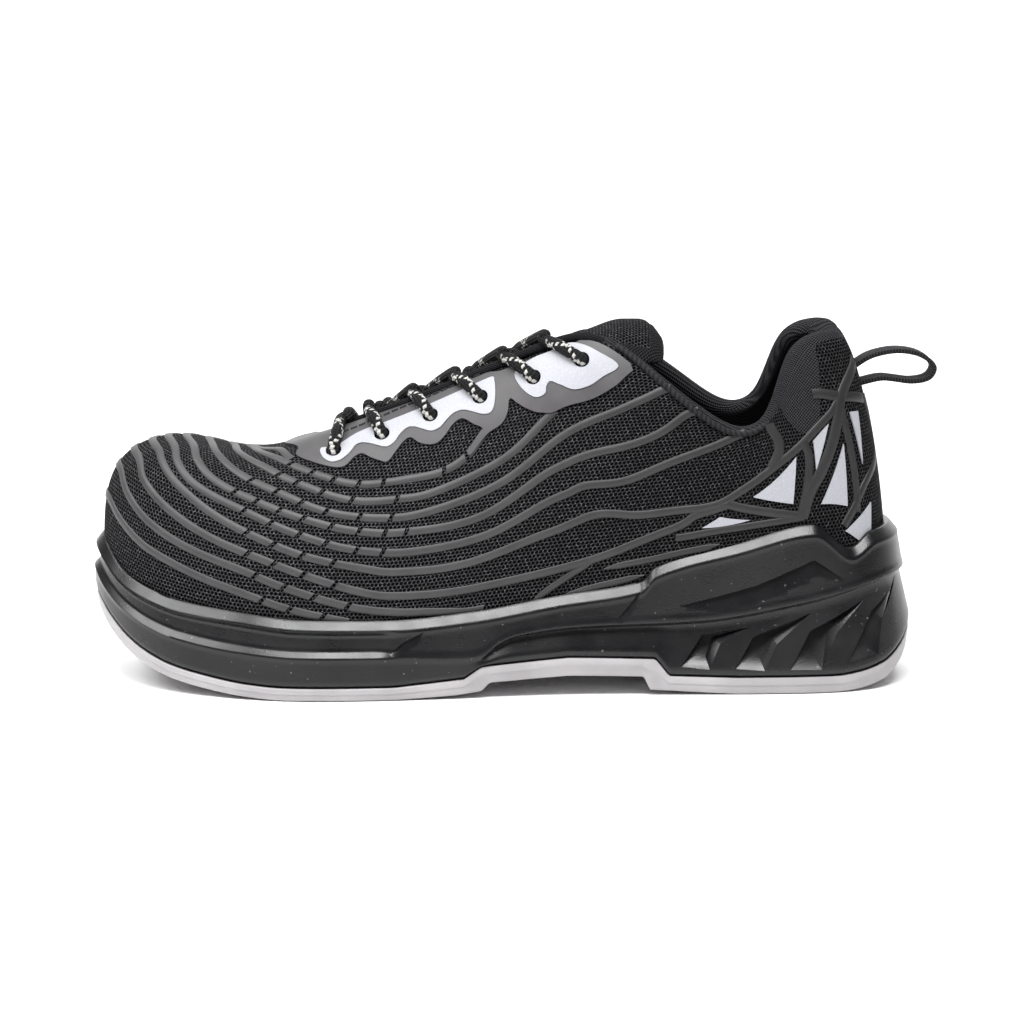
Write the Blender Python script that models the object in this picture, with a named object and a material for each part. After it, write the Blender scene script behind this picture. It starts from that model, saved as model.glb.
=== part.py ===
"""Low safety shoe for the left foot: cup sole, hollow upper, overlays, tongue, insole, lace and loop.

Tables are in millimetres. "along" runs forward from the back of the sole, "height" runs up from
the floor, and lateral is the wearer's left, +Y. The toe points to +X.
"""

import math
from collections import namedtuple

import bmesh
import bpy
import numpy as np
from mathutils import Vector
from mathutils.bvhtree import BVHTree
from mathutils.geometry import delaunay_2d_cdt

MM = 0.001
SOLE_LENGTH = 300.0
LOOP_REACH = 7.8
MIDDLE_ALONG = (SOLE_LENGTH - LOOP_REACH) / 2
MIDDLE_ACROSS = 0.7
SWING = 8.0
GAP = 0.35
WALL = 2.4
TROUGH_DEPTH = 7.0
TROUGH_ALONG = 240.0
TROUGH_LENGTH = 22.0
MEDIAL_COLLAR_RISE = 2.0
MEDIAL_THROAT_DROP = 5.0
INSOLE_THICK = 4.0
EYELET_RADIUS = 2.6
LACE_RADIUS = 2.2
FILM = 0.9
FLAT_ANGLE = math.radians(2.5)

Finish = namedtuple("Finish", "color roughness metallic")
FINISHES = {
    "outsole_rubber": Finish((0.58, 0.56, 0.57, 1), 0.5, 0.0),
    "midsole_rubber": Finish((0.03, 0.03, 0.032, 1), 0.35, 0.0),
    "knit_black": Finish((0.02, 0.02, 0.022, 1), 0.8, 0.0),
    "film_grey": Finish((0.14, 0.14, 0.15, 1), 0.5, 0.0),
    "lace_black": Finish((0.04, 0.04, 0.042, 1), 0.75, 0.0),
    "footbed": Finish((0.05, 0.05, 0.055, 1), 0.95, 0.0),
}

# One row is one section round the loop, heel to toe; each row but the ends serves both sides.
# inset: upper's foot inside the sole edge; square: corner fullness; pad: extra wall at the collar.
Section = namedtuple(
    "Section",
    "along lateral medial inset top_along top_half top_height square belly pad lean",
)
SECTIONS = [
    Section(0.0, 0.0, 0.0, 9.5, 26.5, 0.0, 125.2, 1.5, 0.0, 7.0, 5.5),
    Section(4.5, 19.5, 19.5, 9.0, 28.0, 10.5, 125.7, 1.5, 0.5, 7.0, 5.0),
    Section(15.0, 31.5, 31.0, 8.0, 35.0, 18.5, 125.2, 1.5, 1.0, 7.0, 4.0),
    Section(30.0, 38.0, 37.5, 7.0, 43.5, 24.0, 120.2, 1.5, 1.5, 6.5, 3.0),
    Section(48.0, 40.5, 39.5, 6.5, 49.5, 28.5, 107.2, 1.55, 2.0, 6.0, 2.0),
    Section(66.0, 41.3, 39.8, 6.5, 56.0, 31.5, 96.2, 1.6, 2.5, 5.0, 2.0),
    Section(84.0, 41.8, 39.0, 6.5, 67.0, 33.0, 93.7, 1.6, 3.0, 4.5, 1.8),
    Section(102.0, 42.3, 37.8, 6.5, 80.0, 33.5, 101.2, 1.6, 3.5, 3.5, 1.6),
    Section(119.0, 43.2, 36.8, 6.5, 94.0, 31.5, 112.7, 1.55, 4.0, 2.0, 1.5),
    Section(136.0, 45.0, 37.2, 6.5, 111.0, 25.0, 125.2, 1.5, 4.0, 0.8, 1.5),
    Section(154.0, 47.8, 39.3, 6.5, 127.0, 19.0, 125.2, 1.42, 4.0, 0.0, 1.5),
    Section(174.0, 51.3, 43.2, 6.5, 147.0, 16.5, 117.2, 1.4, 4.0, 0.0, 1.5),
    Section(195.0, 54.5, 47.0, 6.5, 167.0, 15.0, 108.2, 1.45, 4.0, 0.0, 1.5),
    Section(217.0, 56.6, 49.8, 6.5, 186.0, 13.8, 100.2, 1.6, 3.5, 0.0, 1.5),
    Section(241.0, 54.0, 49.0, 6.5, 200.0, 12.0, 94.7, 2.0, 2.5, 0.0, 1.5),
    Section(265.0, 45.5, 43.0, 6.5, 209.0, 9.0, 92.0, 2.7, 1.0, 0.0, 1.5),
    Section(284.0, 32.5, 31.5, 4.6, 213.5, 6.0, 91.2, 3.7, 0.0, 0.0, 0.6),
    Section(296.0, 15.5, 15.5, 3.6, 215.5, 3.0, 91.0, 4.4, 0.0, 0.0, 0.3),
    Section(300.0, 0.0, 0.0, 3.4, 216.0, 0.0, 90.9, 4.6, 0.0, 0.0, 0.2),
]

# Heights of the sole by distance along it: (along, height).
DECK = [(0, 38.2), (50, 34.2), (100, 29.2), (150, 23.2), (200, 18.7), (240, 19.7), (270, 24.2), (300, 34.2)]
TREAD = [
    (0, 15), (5, 8), (12, 3), (22, 0.6), (30, 0), (66, 0), (97, 1.8), (99, 6.6), (126, 7.2),
    (154, 5.4), (157, 2.4), (166, 1.2), (188, 0), (226, 0), (240, 0.8), (257, 3.0), (268, 5.2),
    (276, 8), (284, 12), (292, 18), (300, 27),
]
OUTSOLE_TOP = [
    (0, 21.5), (5, 14.5), (12, 9.5), (22, 7), (30, 6.2), (66, 6.2), (90, 7), (95, 13.2), (126, 14),
    (157, 11.4), (163, 7.2), (188, 4.8), (226, 4.8), (240, 5.6), (257, 8), (268, 10.2), (276, 13),
    (284, 17.2), (292, 23.6), (300, 32.5),
]
TOP_EDGE = [
    (0, 58.2), (12, 57.2), (23, 52), (38, 61), (66, 54.5), (95, 46.3), (100, 41.1), (130, 36.2),
    (160, 31.2), (190, 28.8), (222, 29.2), (243, 31.2), (267, 33.6), (276, 35.8), (283, 38.2), (289, 41.2),
    (295, 46.7), (300, 52.2),
]
STEP_LINE = [
    (0, 41.5), (5, 41), (42, 33.2), (79, 27), (125, 25), (145, 22.2), (151, 19.5), (157, 15.2),
    (165, 14.6), (190, 15.4), (222, 15.6), (243, 17), (267, 20.3), (276, 22.9), (283, 26),
    (289, 29.4), (295, 34.2), (300, 40),
]
# How far the wall is let in above and below the step line: (along, depth).
LET_IN_ABOVE = [(0, 0), (184, 0), (194, 1.8), (300, 1.8)]
LET_IN_BELOW = [(0, 1.5), (60, 2.0), (130, 2.4), (150, 2.0), (160, 0), (300, 0)]
# Extra mesh lines where the outsole steps up under the arch.
STEP_STATIONS = (90.0, 94.8, 97.0, 99.2, 153.8, 157.0, 163.0)


def smooth(table, where):
    """Read a table of pairs along a curve that doesn't overshoot its rows."""
    rows = np.array(table, float)
    place, value = rows[:, 0], rows[:, 1]
    step = np.diff(place)
    slope = np.diff(value) / step
    same = slope[:-1] * slope[1:] > 0
    mean = 2 * slope[:-1] * slope[1:] / np.where(same, slope[:-1] + slope[1:], 1.0)
    lean = np.concatenate([slope[:1], np.where(same, mean, 0.0), slope[-1:]])
    where = np.clip(where, place[0], place[-1])
    k = np.clip(np.searchsorted(place, where, side="right") - 1, 0, len(step) - 1)
    f = (where - place[k]) / step[k]
    ends = value[k] * (2 * f**3 - 3 * f**2 + 1) + value[k + 1] * (3 * f**2 - 2 * f**3)
    bends = lean[k] * (f**3 - 2 * f**2 + f) + lean[k + 1] * (f**3 - f**2)
    return ends + bends * step[k]


def straight(table, where):
    """Read a table of pairs along straight lines."""
    rows = np.array(table, float)
    return np.interp(where, rows[:, 0], rows[:, 1])


def swing(along):
    """Sideways place of the shoe's middle line, which turns in towards the toe."""
    return -SWING * (np.maximum(np.asarray(along) - 100.0, 0.0) / 200.0) ** 2


def closed_spline(knots, where, slope=False):
    """Smooth closed curve through evenly numbered knots, read at where, 0 to 1."""
    count = len(knots)
    unit = np.eye(count)
    matrix = 4 * unit + np.roll(unit, 1, axis=0) + np.roll(unit, -1, axis=0)
    pull = 3 * (np.roll(knots, -1, axis=0) - np.roll(knots, 1, axis=0))
    tangent = np.linalg.solve(matrix, pull)
    place = np.mod(where, 1.0) * count
    k = np.floor(place).astype(int) % count
    n = (k + 1) % count
    f = (place - np.floor(place))[:, None]
    if slope:
        ends = (6 * f**2 - 6 * f) * (knots[k] - knots[n])
        return ends + (3 * f**2 - 4 * f + 1) * tangent[k] + (3 * f**2 - 2 * f) * tangent[n]
    ends = (2 * f**3 - 3 * f**2 + 1) * knots[k] + (3 * f**2 - 2 * f**3) * knots[n]
    return ends + (f**3 - 2 * f**2 + f) * tangent[k] + (f**3 - f**2) * tangent[n]


def loop_knots():
    """Sections as one closed loop: heel, lateral side, toe, medial side."""
    knots = []
    for number, row in enumerate(SECTIONS + SECTIONS[-2:0:-1]):
        lateral = number < len(SECTIONS)
        side = 1 if lateral else -1
        half = row.lateral if lateral else row.medial
        collar = min(row.pad / 3.0, 1.0)
        throat = max(1.0 - row.pad / 1.6, 0.0) * min(row.top_half / 14.0, 1.0)
        rise = 0.0 if lateral else MEDIAL_COLLAR_RISE * collar - MEDIAL_THROAT_DROP * throat
        knots.append([
            row.along, swing(row.along) + side * half, row.inset,
            row.top_along, swing(row.top_along) + side * row.top_half, row.top_height + rise,
            row.square, row.belly, row.pad, row.lean,
        ])
    return np.array(knots, float)


LOOP = loop_knots()
ARC_STEPS = np.linspace(0.0, 1.0, 65)
ARC = math.pi / 2 * ARC_STEPS**2 * (3 - 2 * ARC_STEPS)


def outward(turn):
    """Plan direction that points out of the sole's edge."""
    slope = closed_spline(LOOP[:, :2], turn, slope=True)
    normal = np.stack([-slope[:, 1], slope[:, 0]], axis=1)
    return normal / np.linalg.norm(normal, axis=1, keepdims=True)


def sole_edge(turn, out):
    """Plan points at a distance outside the sole's edge."""
    return closed_spline(LOOP[:, :2], turn) + outward(turn) * np.reshape(out, (-1, 1))


def meridians(turn):
    """Curves of the upper from its foot, inside the cup, to its top edge."""
    knots = closed_spline(LOOP, turn)
    out = outward(turn)
    foot = knots[:, :2] - out * knots[:, 2:3]
    top = knots[:, 3:5]
    foot_height = (smooth(DECK, foot[:, 0]) + GAP)[:, None]
    power = 2.0 / knots[:, 6:7]
    run = np.cos(ARC)[None, :] ** power
    lift = np.sin(ARC)[None, :] ** power
    belly = knots[:, 7:8] * np.sin(math.pi * lift)
    plan = top[:, None, :] + (foot - top)[:, None, :] * run[..., None]
    plan = plan + out[:, None, :] * belly[..., None]
    height = foot_height + (knots[:, 5:6] - foot_height) * lift
    trough = np.exp(-(((plan[..., 0] - TROUGH_ALONG) / TROUGH_LENGTH) ** 2))
    height = height - TROUGH_DEPTH * trough * lift**3
    return np.concatenate([plan, height[..., None]], axis=2)


def upper_skin(turn, rise):
    """Points of the upper's outside; rise is the share of the way up a meridian."""
    turn, rise = np.broadcast_arrays(np.asarray(turn, float), np.asarray(rise, float))
    flat_turn, flat_rise = turn.ravel(), rise.ravel()
    path = meridians(flat_turn)
    step = np.linalg.norm(np.diff(path, axis=1), axis=2)
    reach = np.concatenate([np.zeros((len(path), 1)), np.cumsum(step, axis=1)], axis=1)
    want = np.clip(flat_rise, 0.0, 1.0) * reach[:, -1]
    k = np.clip((reach <= want[:, None]).sum(axis=1) - 1, 0, len(ARC) - 2)
    row = np.arange(len(path))
    f = ((want - reach[row, k]) / np.maximum(step[row, k], 1e-9))[:, None]
    return path[row, k] * (1 - f) + path[row, k + 1] * f


def meridian_length(turn):
    """Length of a meridian from foot to top edge."""
    path = meridians(np.atleast_1d(np.asarray(turn, float)))
    return np.linalg.norm(np.diff(path, axis=1), axis=2).sum(axis=1)


def upper_normal(turn, rise):
    """Direction straight out of the upper."""
    turn, rise = np.broadcast_arrays(np.asarray(turn, float), np.asarray(rise, float))
    turn, rise = turn.ravel(), rise.ravel()
    around = upper_skin(turn + 0.003, rise) - upper_skin(turn - 0.003, rise)
    up = upper_skin(turn, np.minimum(rise + 0.02, 1)) - upper_skin(turn, np.maximum(rise - 0.02, 0))
    normal = np.cross(up, around)
    return normal / np.linalg.norm(normal, axis=1, keepdims=True)


def upper_wall(turn, rise):
    """Wall thickness, padded towards the collar."""
    pad = closed_spline(LOOP[:, 8:9], np.ravel(turn))[:, 0]
    f = np.clip((np.ravel(rise) - 0.5) / 0.35, 0.0, 1.0)
    return WALL + np.maximum(pad, 0.0) * f * f * (3 - 2 * f)


def on_upper(turn, rise, out, steady=0.98):
    """Points at a distance outside the upper; directions hold still above the steady rise."""
    normal = upper_normal(turn, np.minimum(rise, steady))
    return upper_skin(turn, rise) + normal * np.reshape(out, (-1, 1))


def ring_turns():
    """Mesh lines round the loop: two for each section, and the arch steps, the same both sides."""
    base = np.arange(0, len(LOOP) + 1) / (2 * len(LOOP))
    fine = np.linspace(0.0, 0.5, 2001)
    along = closed_spline(LOOP[:, :1], fine)[:, 0]
    extra = np.interp(STEP_STATIONS, along, fine)
    kept = [turn for turn in base if np.abs(extra - turn).min() > 0.004]
    half = np.unique(np.round(np.concatenate([kept, extra]), 6))
    return np.concatenate([half, 1.0 - half[-2:0:-1]])


RING = ring_turns()
AROUND = len(RING)

for old in list(bpy.data.objects):
    bpy.data.objects.remove(old, do_unlink=True)

MATERIALS = {}
for label, finish in FINISHES.items():
    material = bpy.data.materials.new(label)
    material.diffuse_color = finish.color
    material.use_nodes = True
    shader = material.node_tree.nodes["Principled BSDF"]
    shader.inputs["Base Color"].default_value = finish.color
    shader.inputs["Roughness"].default_value = finish.roughness
    shader.inputs["Metallic"].default_value = finish.metallic
    MATERIALS[label] = material


def add_mesh(name, points, faces, label):
    """Make an object from points in table millimetres."""
    shifted = np.asarray(points, float) - np.array([MIDDLE_ALONG, MIDDLE_ACROSS, 0.0])
    mesh = bpy.data.meshes.new(name)
    mesh.from_pydata([tuple(point * MM) for point in shifted], [], faces)
    shape = bmesh.new()
    shape.from_mesh(mesh)
    bmesh.ops.recalc_face_normals(shape, faces=shape.faces)
    shape.to_mesh(mesh)
    shape.free()
    mesh.materials.append(MATERIALS[label])
    thing = bpy.data.objects.new(name, mesh)
    bpy.context.scene.collection.objects.link(thing)
    return thing


def helper(thing):
    """Keep a cutter out of the part."""
    thing.hide_render = True
    thing.display_type = "WIRE"
    return thing


def combine(thing, other, operation):
    """Cut or join another solid into an object."""
    change = thing.modifiers.new(operation.lower(), "BOOLEAN")
    change.object = helper(other)
    change.operation = operation
    change.solver = "EXACT"
    change.use_self = operation == "INTERSECT"
    return thing


def merge_flat(thing):
    """Join faces that lie in one plane."""
    change = thing.modifiers.new("merge_flat", "DECIMATE")
    change.decimate_type = "DISSOLVE"
    change.angle_limit = FLAT_ANGLE
    return thing


def ring_faces(first, second, count):
    """Triangles between two rings of points, all split the same way."""
    faces = []
    for i in range(count):
        j = (i + 1) % count
        faces.append((first + i, first + j, second + j))
        faces.append((first + i, second + j, second + i))
    return faces


def ladder(first, count):
    """Close a ring with strips from its lateral to its medial side."""
    half = count // 2
    faces = [(first, first + 1, first + count - 1)]
    for i in range(1, half - 1):
        faces.append((first + i, first + i + 1, first + count - i - 1, first + count - i))
    faces.append((first + half - 1, first + half, first + half + 1))
    return faces


def stacked(name, rings, label, closed=False):
    """Solid through a stack of rings, closed by ladders or joined last to first."""
    count = len(rings[0])
    faces = []
    for level in range(len(rings) - 1):
        faces += ring_faces(level * count, (level + 1) * count, count)
    if closed:
        faces += ring_faces((len(rings) - 1) * count, 0, count)
    else:
        faces += ladder(0, count) + ladder((len(rings) - 1) * count, count)
    return add_mesh(name, np.concatenate(rings), faces, label)


def at_height(plan, height):
    """Points from plan places and heights."""
    return np.column_stack([plan, height])


# Outsole: pale tread with a stepped arch, a rounded lower edge and cross grooves.
TREAD_EDGE = -1.2
TREAD_ROUND = 1.8
GROOVE_DEPTH = 2.4
GROOVE_WIDTH = 4.0
GROOVE_SLANT = 0.22
HEEL_GROOVES = (38.0, 52.0, 66.0, 80.0)
HEEL_GROOVE_SHIFT = 2.0
FOREFOOT_GROOVES = (172.0, 186.0, 200.0, 214.0, 228.0)
TOE_GROOVES = (242.0, 256.0)
GROOVE_REACH = 34.0
TOE_GROOVE_REACH = 26.5
GROOVE_START = 4.0

foot_plan = sole_edge(RING, TREAD_EDGE - TREAD_ROUND)
side_plan = sole_edge(RING, TREAD_EDGE)
outsole = stacked(
    "outsole",
    [
        at_height(foot_plan, straight(TREAD, foot_plan[:, 0])),
        at_height(side_plan, straight(TREAD, side_plan[:, 0]) + 1.1),
        at_height(side_plan, straight(OUTSOLE_TOP, side_plan[:, 0])),
    ],
    "outsole_rubber",
)


def block(points_low, points_high):
    """Eight points and six faces of a block."""
    faces = [(0, 1, 2, 3), (4, 5, 6, 7)]
    faces += [(i, (i + 1) % 4, (i + 1) % 4 + 4, i + 4) for i in range(4)]
    return np.concatenate([points_low, points_high]), faces


def groove_points(middle, height):
    """Corners of one cross groove, slanted from side to side."""
    reach = TOE_GROOVE_REACH if middle in TOE_GROOVES else GROOVE_REACH
    shift = HEEL_GROOVE_SHIFT if middle in HEEL_GROOVES else 0.0
    corners = []
    for run, side in ((-1, -1), (1, -1), (1, 1), (-1, 1)):
        across = side * reach + float(swing(middle)) + shift
        corners.append((middle + run * GROOVE_WIDTH / 2 + GROOVE_SLANT * across, across, height))
    return corners


groove_mesh_points = []
groove_mesh_faces = []
for middle in HEEL_GROOVES + FOREFOOT_GROOVES + TOE_GROOVES:
    floor = float(straight(TREAD, middle))
    low = groove_points(middle, floor - GROOVE_START)
    high = groove_points(middle, floor + GROOVE_DEPTH)
    points, faces = block(low, high)
    start = sum(len(group) for group in groove_mesh_points)
    groove_mesh_points.append(points)
    groove_mesh_faces += [tuple(start + i for i in face) for face in faces]
grooves = add_mesh("groove_cutter", np.concatenate(groove_mesh_points), groove_mesh_faces, "outsole_rubber")
combine(outsole, grooves, "DIFFERENCE")

# Midsole: a cup. Its wall steps along one line, let in above it in front and below it behind.
BEAD_HEIGHT = 3.4
FOOT_LIP = 3.2
CLAW_BASE = 10.5
CLAW_DEPTH = 4.5
CLAW_OUT = 6.0

edge_along = sole_edge(RING, 0.0)[:, 0]
low = straight(OUTSOLE_TOP, edge_along) + GAP
top = straight(TOP_EDGE, edge_along)
line = straight(STEP_LINE, edge_along)
above = straight(LET_IN_ABOVE, edge_along)
below = straight(LET_IN_BELOW, edge_along)
lean = closed_spline(LOOP[:, 9:10], RING)[:, 0]


def wall_ring(height, out):
    """Ring on the midsole's outer wall, which leans in towards the top."""
    share = (height - low) / (top - low)
    return at_height(sole_edge(RING, out - lean * share), height)


lower = line - low
upper_part = top - line
bottom_plan = sole_edge(RING, TREAD_EDGE)
rings = [
    at_height(bottom_plan, straight(OUTSOLE_TOP, bottom_plan[:, 0]) + GAP),
    wall_ring(low + np.minimum(0.9, 0.12 * lower), -0.2 + 0 * low),
    wall_ring(low + np.minimum(FOOT_LIP, 0.35 * lower), 0 * low),
    wall_ring(low + np.minimum(FOOT_LIP + 1.2, 0.5 * lower), -0.8 * below),
    wall_ring(line - np.minimum(1.2, 0.2 * lower), -below),
    wall_ring(line, 0.4 + 0 * low),
    wall_ring(line + np.minimum(1.8, 0.15 * upper_part), -above),
    wall_ring(top - np.minimum(BEAD_HEIGHT + 1.2, 0.4 * upper_part), -0.3 - above),
    wall_ring(top - np.minimum(BEAD_HEIGHT, 0.3 * upper_part), -0.4 + 0 * low),
    wall_ring(top - 1.0, -0.9 + 0 * low),
    wall_ring(top, -2.2 + 0 * low),
]
rim_rise = np.zeros(AROUND)
rise_steps = np.linspace(0.0, 0.75, 61)
for i, turn in enumerate(RING):
    heights = upper_skin(np.full(61, turn), rise_steps)[:, 2]
    rim_rise[i] = np.interp(top[i] - 0.6, heights, rise_steps)
for share in (1.0, 0.5, 0.0):
    rings.append(on_upper(RING, rim_rise * share, np.full(AROUND, GAP)))
corner = rings[-1].copy()
corner[:, 2] = smooth(DECK, corner[:, 0])
rings.append(corner)
midsole = stacked("midsole", rings, "midsole_rubber")

# Slashes in the heel wall: tip and middle of the foot of each, (along, height).
Claw = namedtuple("Claw", "tip_along tip_height foot_along foot_height")
CLAWS = [
    Claw(61.6, 24.9, 81.0, 10.8),
    Claw(40.1, 29.3, 61.8, 10.2),
    Claw(20.5, 33.6, 42.0, 10.2),
    Claw(7.0, 38.0, 21.5, 11.9),
]


def turn_at(along, lateral):
    """Turn round the loop where the sole's edge has this place along it."""
    fine = np.linspace(0.0, 0.5, 2001)
    turn = np.interp(along, closed_spline(LOOP[:, :1], fine)[:, 0], fine)
    return turn if lateral else 1.0 - turn


def claw_block(row, lateral):
    """Five-sided block that cuts one slash; its floor is smaller than its mouth."""
    half = CLAW_BASE / 2
    mouth = [
        (row.tip_along, row.tip_height),
        (row.foot_along + half - 6.5, row.foot_height + 11.5),
        (row.foot_along + half, row.foot_height),
        (row.foot_along - half, row.foot_height),
        (row.foot_along - half - 3.5, row.foot_height + 9.0),
    ]
    floor = [
        (row.tip_along + 3.0, row.tip_height - 1.5),
        (row.foot_along + half - 7.5, row.foot_height + 9.5),
        (row.foot_along + half - 3.0, row.foot_height + 4.5),
        (row.foot_along - half + 0.5, row.foot_height + 4.5),
        (row.foot_along - half - 1.5, row.foot_height + 8.5),
    ]
    points = []
    for outline, out in ((mouth, CLAW_OUT), (floor, -CLAW_DEPTH)):
        for along, height in outline:
            turn = np.array([turn_at(along, lateral)])
            points.append([*sole_edge(turn, out)[0], height])
    faces = [tuple(range(5)), tuple(range(5, 10))]
    faces += [(i, (i + 1) % 5, (i + 1) % 5 + 5, i + 5) for i in range(5)]
    return points, faces


claw_points = []
claw_faces = []
for lateral in (True, False):
    for row in CLAWS:
        points, faces = claw_block(row, lateral)
        claw_faces += [tuple(len(claw_points) + i for i in face) for face in faces]
        claw_points += points
claws = add_mesh("claw_cutter", claw_points, claw_faces, "midsole_rubber")
combine(midsole, claws, "DIFFERENCE")

# Upper: outside rows from foot to top edge, a round rim, and inside rows back down.
UPPER_ROWS = np.linspace(0.0, 1.0, 11)
INNER_ROWS = (1.0, 0.9, 0.75, 0.55, 0.35, 0.15, 0.0)
upper_rings = []
for rise in UPPER_ROWS:
    upper_rings.append(upper_skin(RING, rise))
rim_out = upper_skin(RING, 1.0)
rim_wall = upper_wall(RING, np.ones(AROUND))
rim_in = on_upper(RING, np.ones(AROUND), -rim_wall, steady=0.9)
rim_run = upper_skin(RING + 0.003, 1.0) - upper_skin(RING - 0.003, 1.0)
rim_run = rim_run / np.linalg.norm(rim_run, axis=1, keepdims=True)
rim_up = upper_skin(RING, 0.9) - upper_skin(RING, 0.8)
rim_up = rim_up - rim_run * np.sum(rim_up * rim_run, axis=1, keepdims=True)
rim_up = rim_up / np.linalg.norm(rim_up, axis=1, keepdims=True)
upper_rings.append((rim_out + rim_in) / 2 + rim_up * (0.35 * rim_wall)[:, None])
for rise in INNER_ROWS:
    level = np.full(AROUND, rise)
    inner = on_upper(RING, level, -upper_wall(RING, level), steady=0.9)
    if rise == 0.0:
        inner[:, 2] = upper_rings[0][:, 2]
    upper_rings.append(inner)
upper = stacked("upper", upper_rings, "knit_black", closed=True)

# Insole: loose footbed that fills the inside of the upper at the deck.
insole_plan = on_upper(RING, np.full(AROUND, 0.03), np.full(AROUND, -WALL - 0.7))[:, :2]
insole_low = smooth(DECK, insole_plan[:, 0]) + GAP
insole = stacked(
    "insole",
    [at_height(insole_plan, insole_low), at_height(insole_plan, insole_low + INSOLE_THICK)],
    "footbed",
)

# Tongue: padded sheet under the throat, its wings tucked inside the upper.
TongueRow = namedtuple("TongueRow", "along height half droop thick")
TONGUE = [
    TongueRow(205.0, 88.7, 18.0, 6.0, 3.0),
    TongueRow(190.0, 94.7, 22.0, 8.0, 4.0),
    TongueRow(170.0, 104.0, 24.0, 9.0, 4.5),
    TongueRow(150.0, 113.2, 26.0, 10.0, 5.0),
    TongueRow(131.0, 121.8, 27.0, 11.0, 5.5),
    TongueRow(117.0, 127.4, 27.0, 12.0, 6.5),
    TongueRow(106.0, 130.4, 26.0, 13.0, 7.5),
    TongueRow(97.0, 130.4, 25.0, 13.0, 7.0),
    TongueRow(92.5, 128.2, 23.5, 12.0, 3.5),
]
TONGUE_ACROSS = np.linspace(-1.0, 1.0, 9)
TONGUE_CLEAR = 0.7


def tree_of(thing):
    """Search tree of an object's mesh, in metres."""
    corners = [vertex.co.copy() for vertex in thing.data.vertices]
    return BVHTree.FromPolygons(corners, [tuple(face.vertices) for face in thing.data.polygons])


def framed(along, across, height):
    """A place from the tables as a point of the part."""
    return Vector(((along - MIDDLE_ALONG) * MM, (across - MIDDLE_ACROSS) * MM, height * MM))


upper_tree = tree_of(upper)


def under_upper(along, across, height):
    """Height kept clear below the upper's inside."""
    start = framed(along, across, float(smooth(DECK, along)) + 12.0)
    spot, normal, _, _ = upper_tree.ray_cast(start, Vector((0, 0, 1)))
    if spot is None:
        return height
    return min(height, spot.z / MM - TONGUE_CLEAR / max(abs(normal.z), 0.2))


tongue_top = []
tongue_low = []
for row in TONGUE:
    for across in TONGUE_ACROSS:
        y = float(swing(row.along)) + row.half * across
        height = row.height - row.droop * abs(across) ** 2 - MEDIAL_THROAT_DROP * max(-across, 0.0)
        height = under_upper(row.along, y, height)
        tongue_top.append((row.along, y, height))
        edge = 1.0 - 0.55 * abs(across) ** 4
        tongue_low.append((row.along + 0.3 * row.thick, y * 0.985, height - row.thick * edge))
wide = len(TONGUE_ACROSS)
long = len(TONGUE)
tongue_faces = []
second = len(tongue_top)
for i in range(long - 1):
    for j in range(wide - 1):
        a = i * wide + j
        tongue_faces.append((a, a + 1, a + wide + 1, a + wide))
        tongue_faces.append((second + a, second + a + wide, second + a + wide + 1, second + a + 1))
rim = [j for j in range(wide)]
rim += [i * wide + wide - 1 for i in range(1, long)]
rim += [(long - 1) * wide + j for j in range(wide - 2, -1, -1)]
rim += [i * wide for i in range(long - 2, 0, -1)]
for i, a in enumerate(rim):
    b = rim[(i + 1) % len(rim)]
    tongue_faces.append((a, second + a, second + b, b))
tongue = add_mesh("tongue", np.array(tongue_top + tongue_low), tongue_faces, "knit_black")


# Lace holes of one side, front first: place along the shoe, and distance in from the throat's edge.
Eyelet = namedtuple("Eyelet", "along inset")
EYELET_ROWS = [
    Eyelet(209.6, 25.0),
    Eyelet(192.4, 19.4),
    Eyelet(175.0, 16.6),
    Eyelet(157.2, 16.2),
    Eyelet(138.2, 16.2),
    Eyelet(121.2, 11.0),
]
THROAT_TURNS = np.linspace(0.25, 0.49, 241)


def eyelet_spots():
    """Turn and rise of each lace hole, lateral first, then medial."""
    lateral = []
    medial = []
    for row in EYELET_ROWS:
        rises = 1.0 - row.inset / meridian_length(THROAT_TURNS)
        turn = float(np.interp(row.along, upper_skin(THROAT_TURNS, rises)[:, 0], THROAT_TURNS))
        lateral.append((turn, 1.0 - row.inset / meridian_length(turn)[0]))
        medial.append((1.0 - turn, 1.0 - row.inset / meridian_length(1.0 - turn)[0]))
    return lateral + medial


def frame_at(turn, rise):
    """Point, outward direction, and the two slopes of the upper's skin at one place."""
    spot = upper_skin([turn], [rise])[0]
    normal = upper_normal([turn], [rise])[0]
    by_turn = (upper_skin([turn + 0.002], [rise])[0] - upper_skin([turn - 0.002], [rise])[0]) / 0.004
    by_rise = (upper_skin([turn], [rise + 0.01])[0] - upper_skin([turn], [rise - 0.01])[0]) / 0.02
    return spot, normal, by_turn, by_rise


def circle_on_upper(turn, rise, radius, sides):
    """Ring of (turn, rise) places at a true radius round one place."""
    _, normal, by_turn, by_rise = frame_at(turn, rise)
    first = by_rise / np.linalg.norm(by_rise)
    second = np.cross(normal, first)
    slopes = np.stack([by_turn, by_rise], axis=1)
    ring = []
    for i in range(sides):
        angle = 2 * math.pi * i / sides
        move = radius * (math.cos(angle) * first + math.sin(angle) * second)
        d_turn, d_rise = np.linalg.lstsq(slopes, move, rcond=None)[0]
        ring.append((turn + d_turn, rise + d_rise))
    return ring


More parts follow.
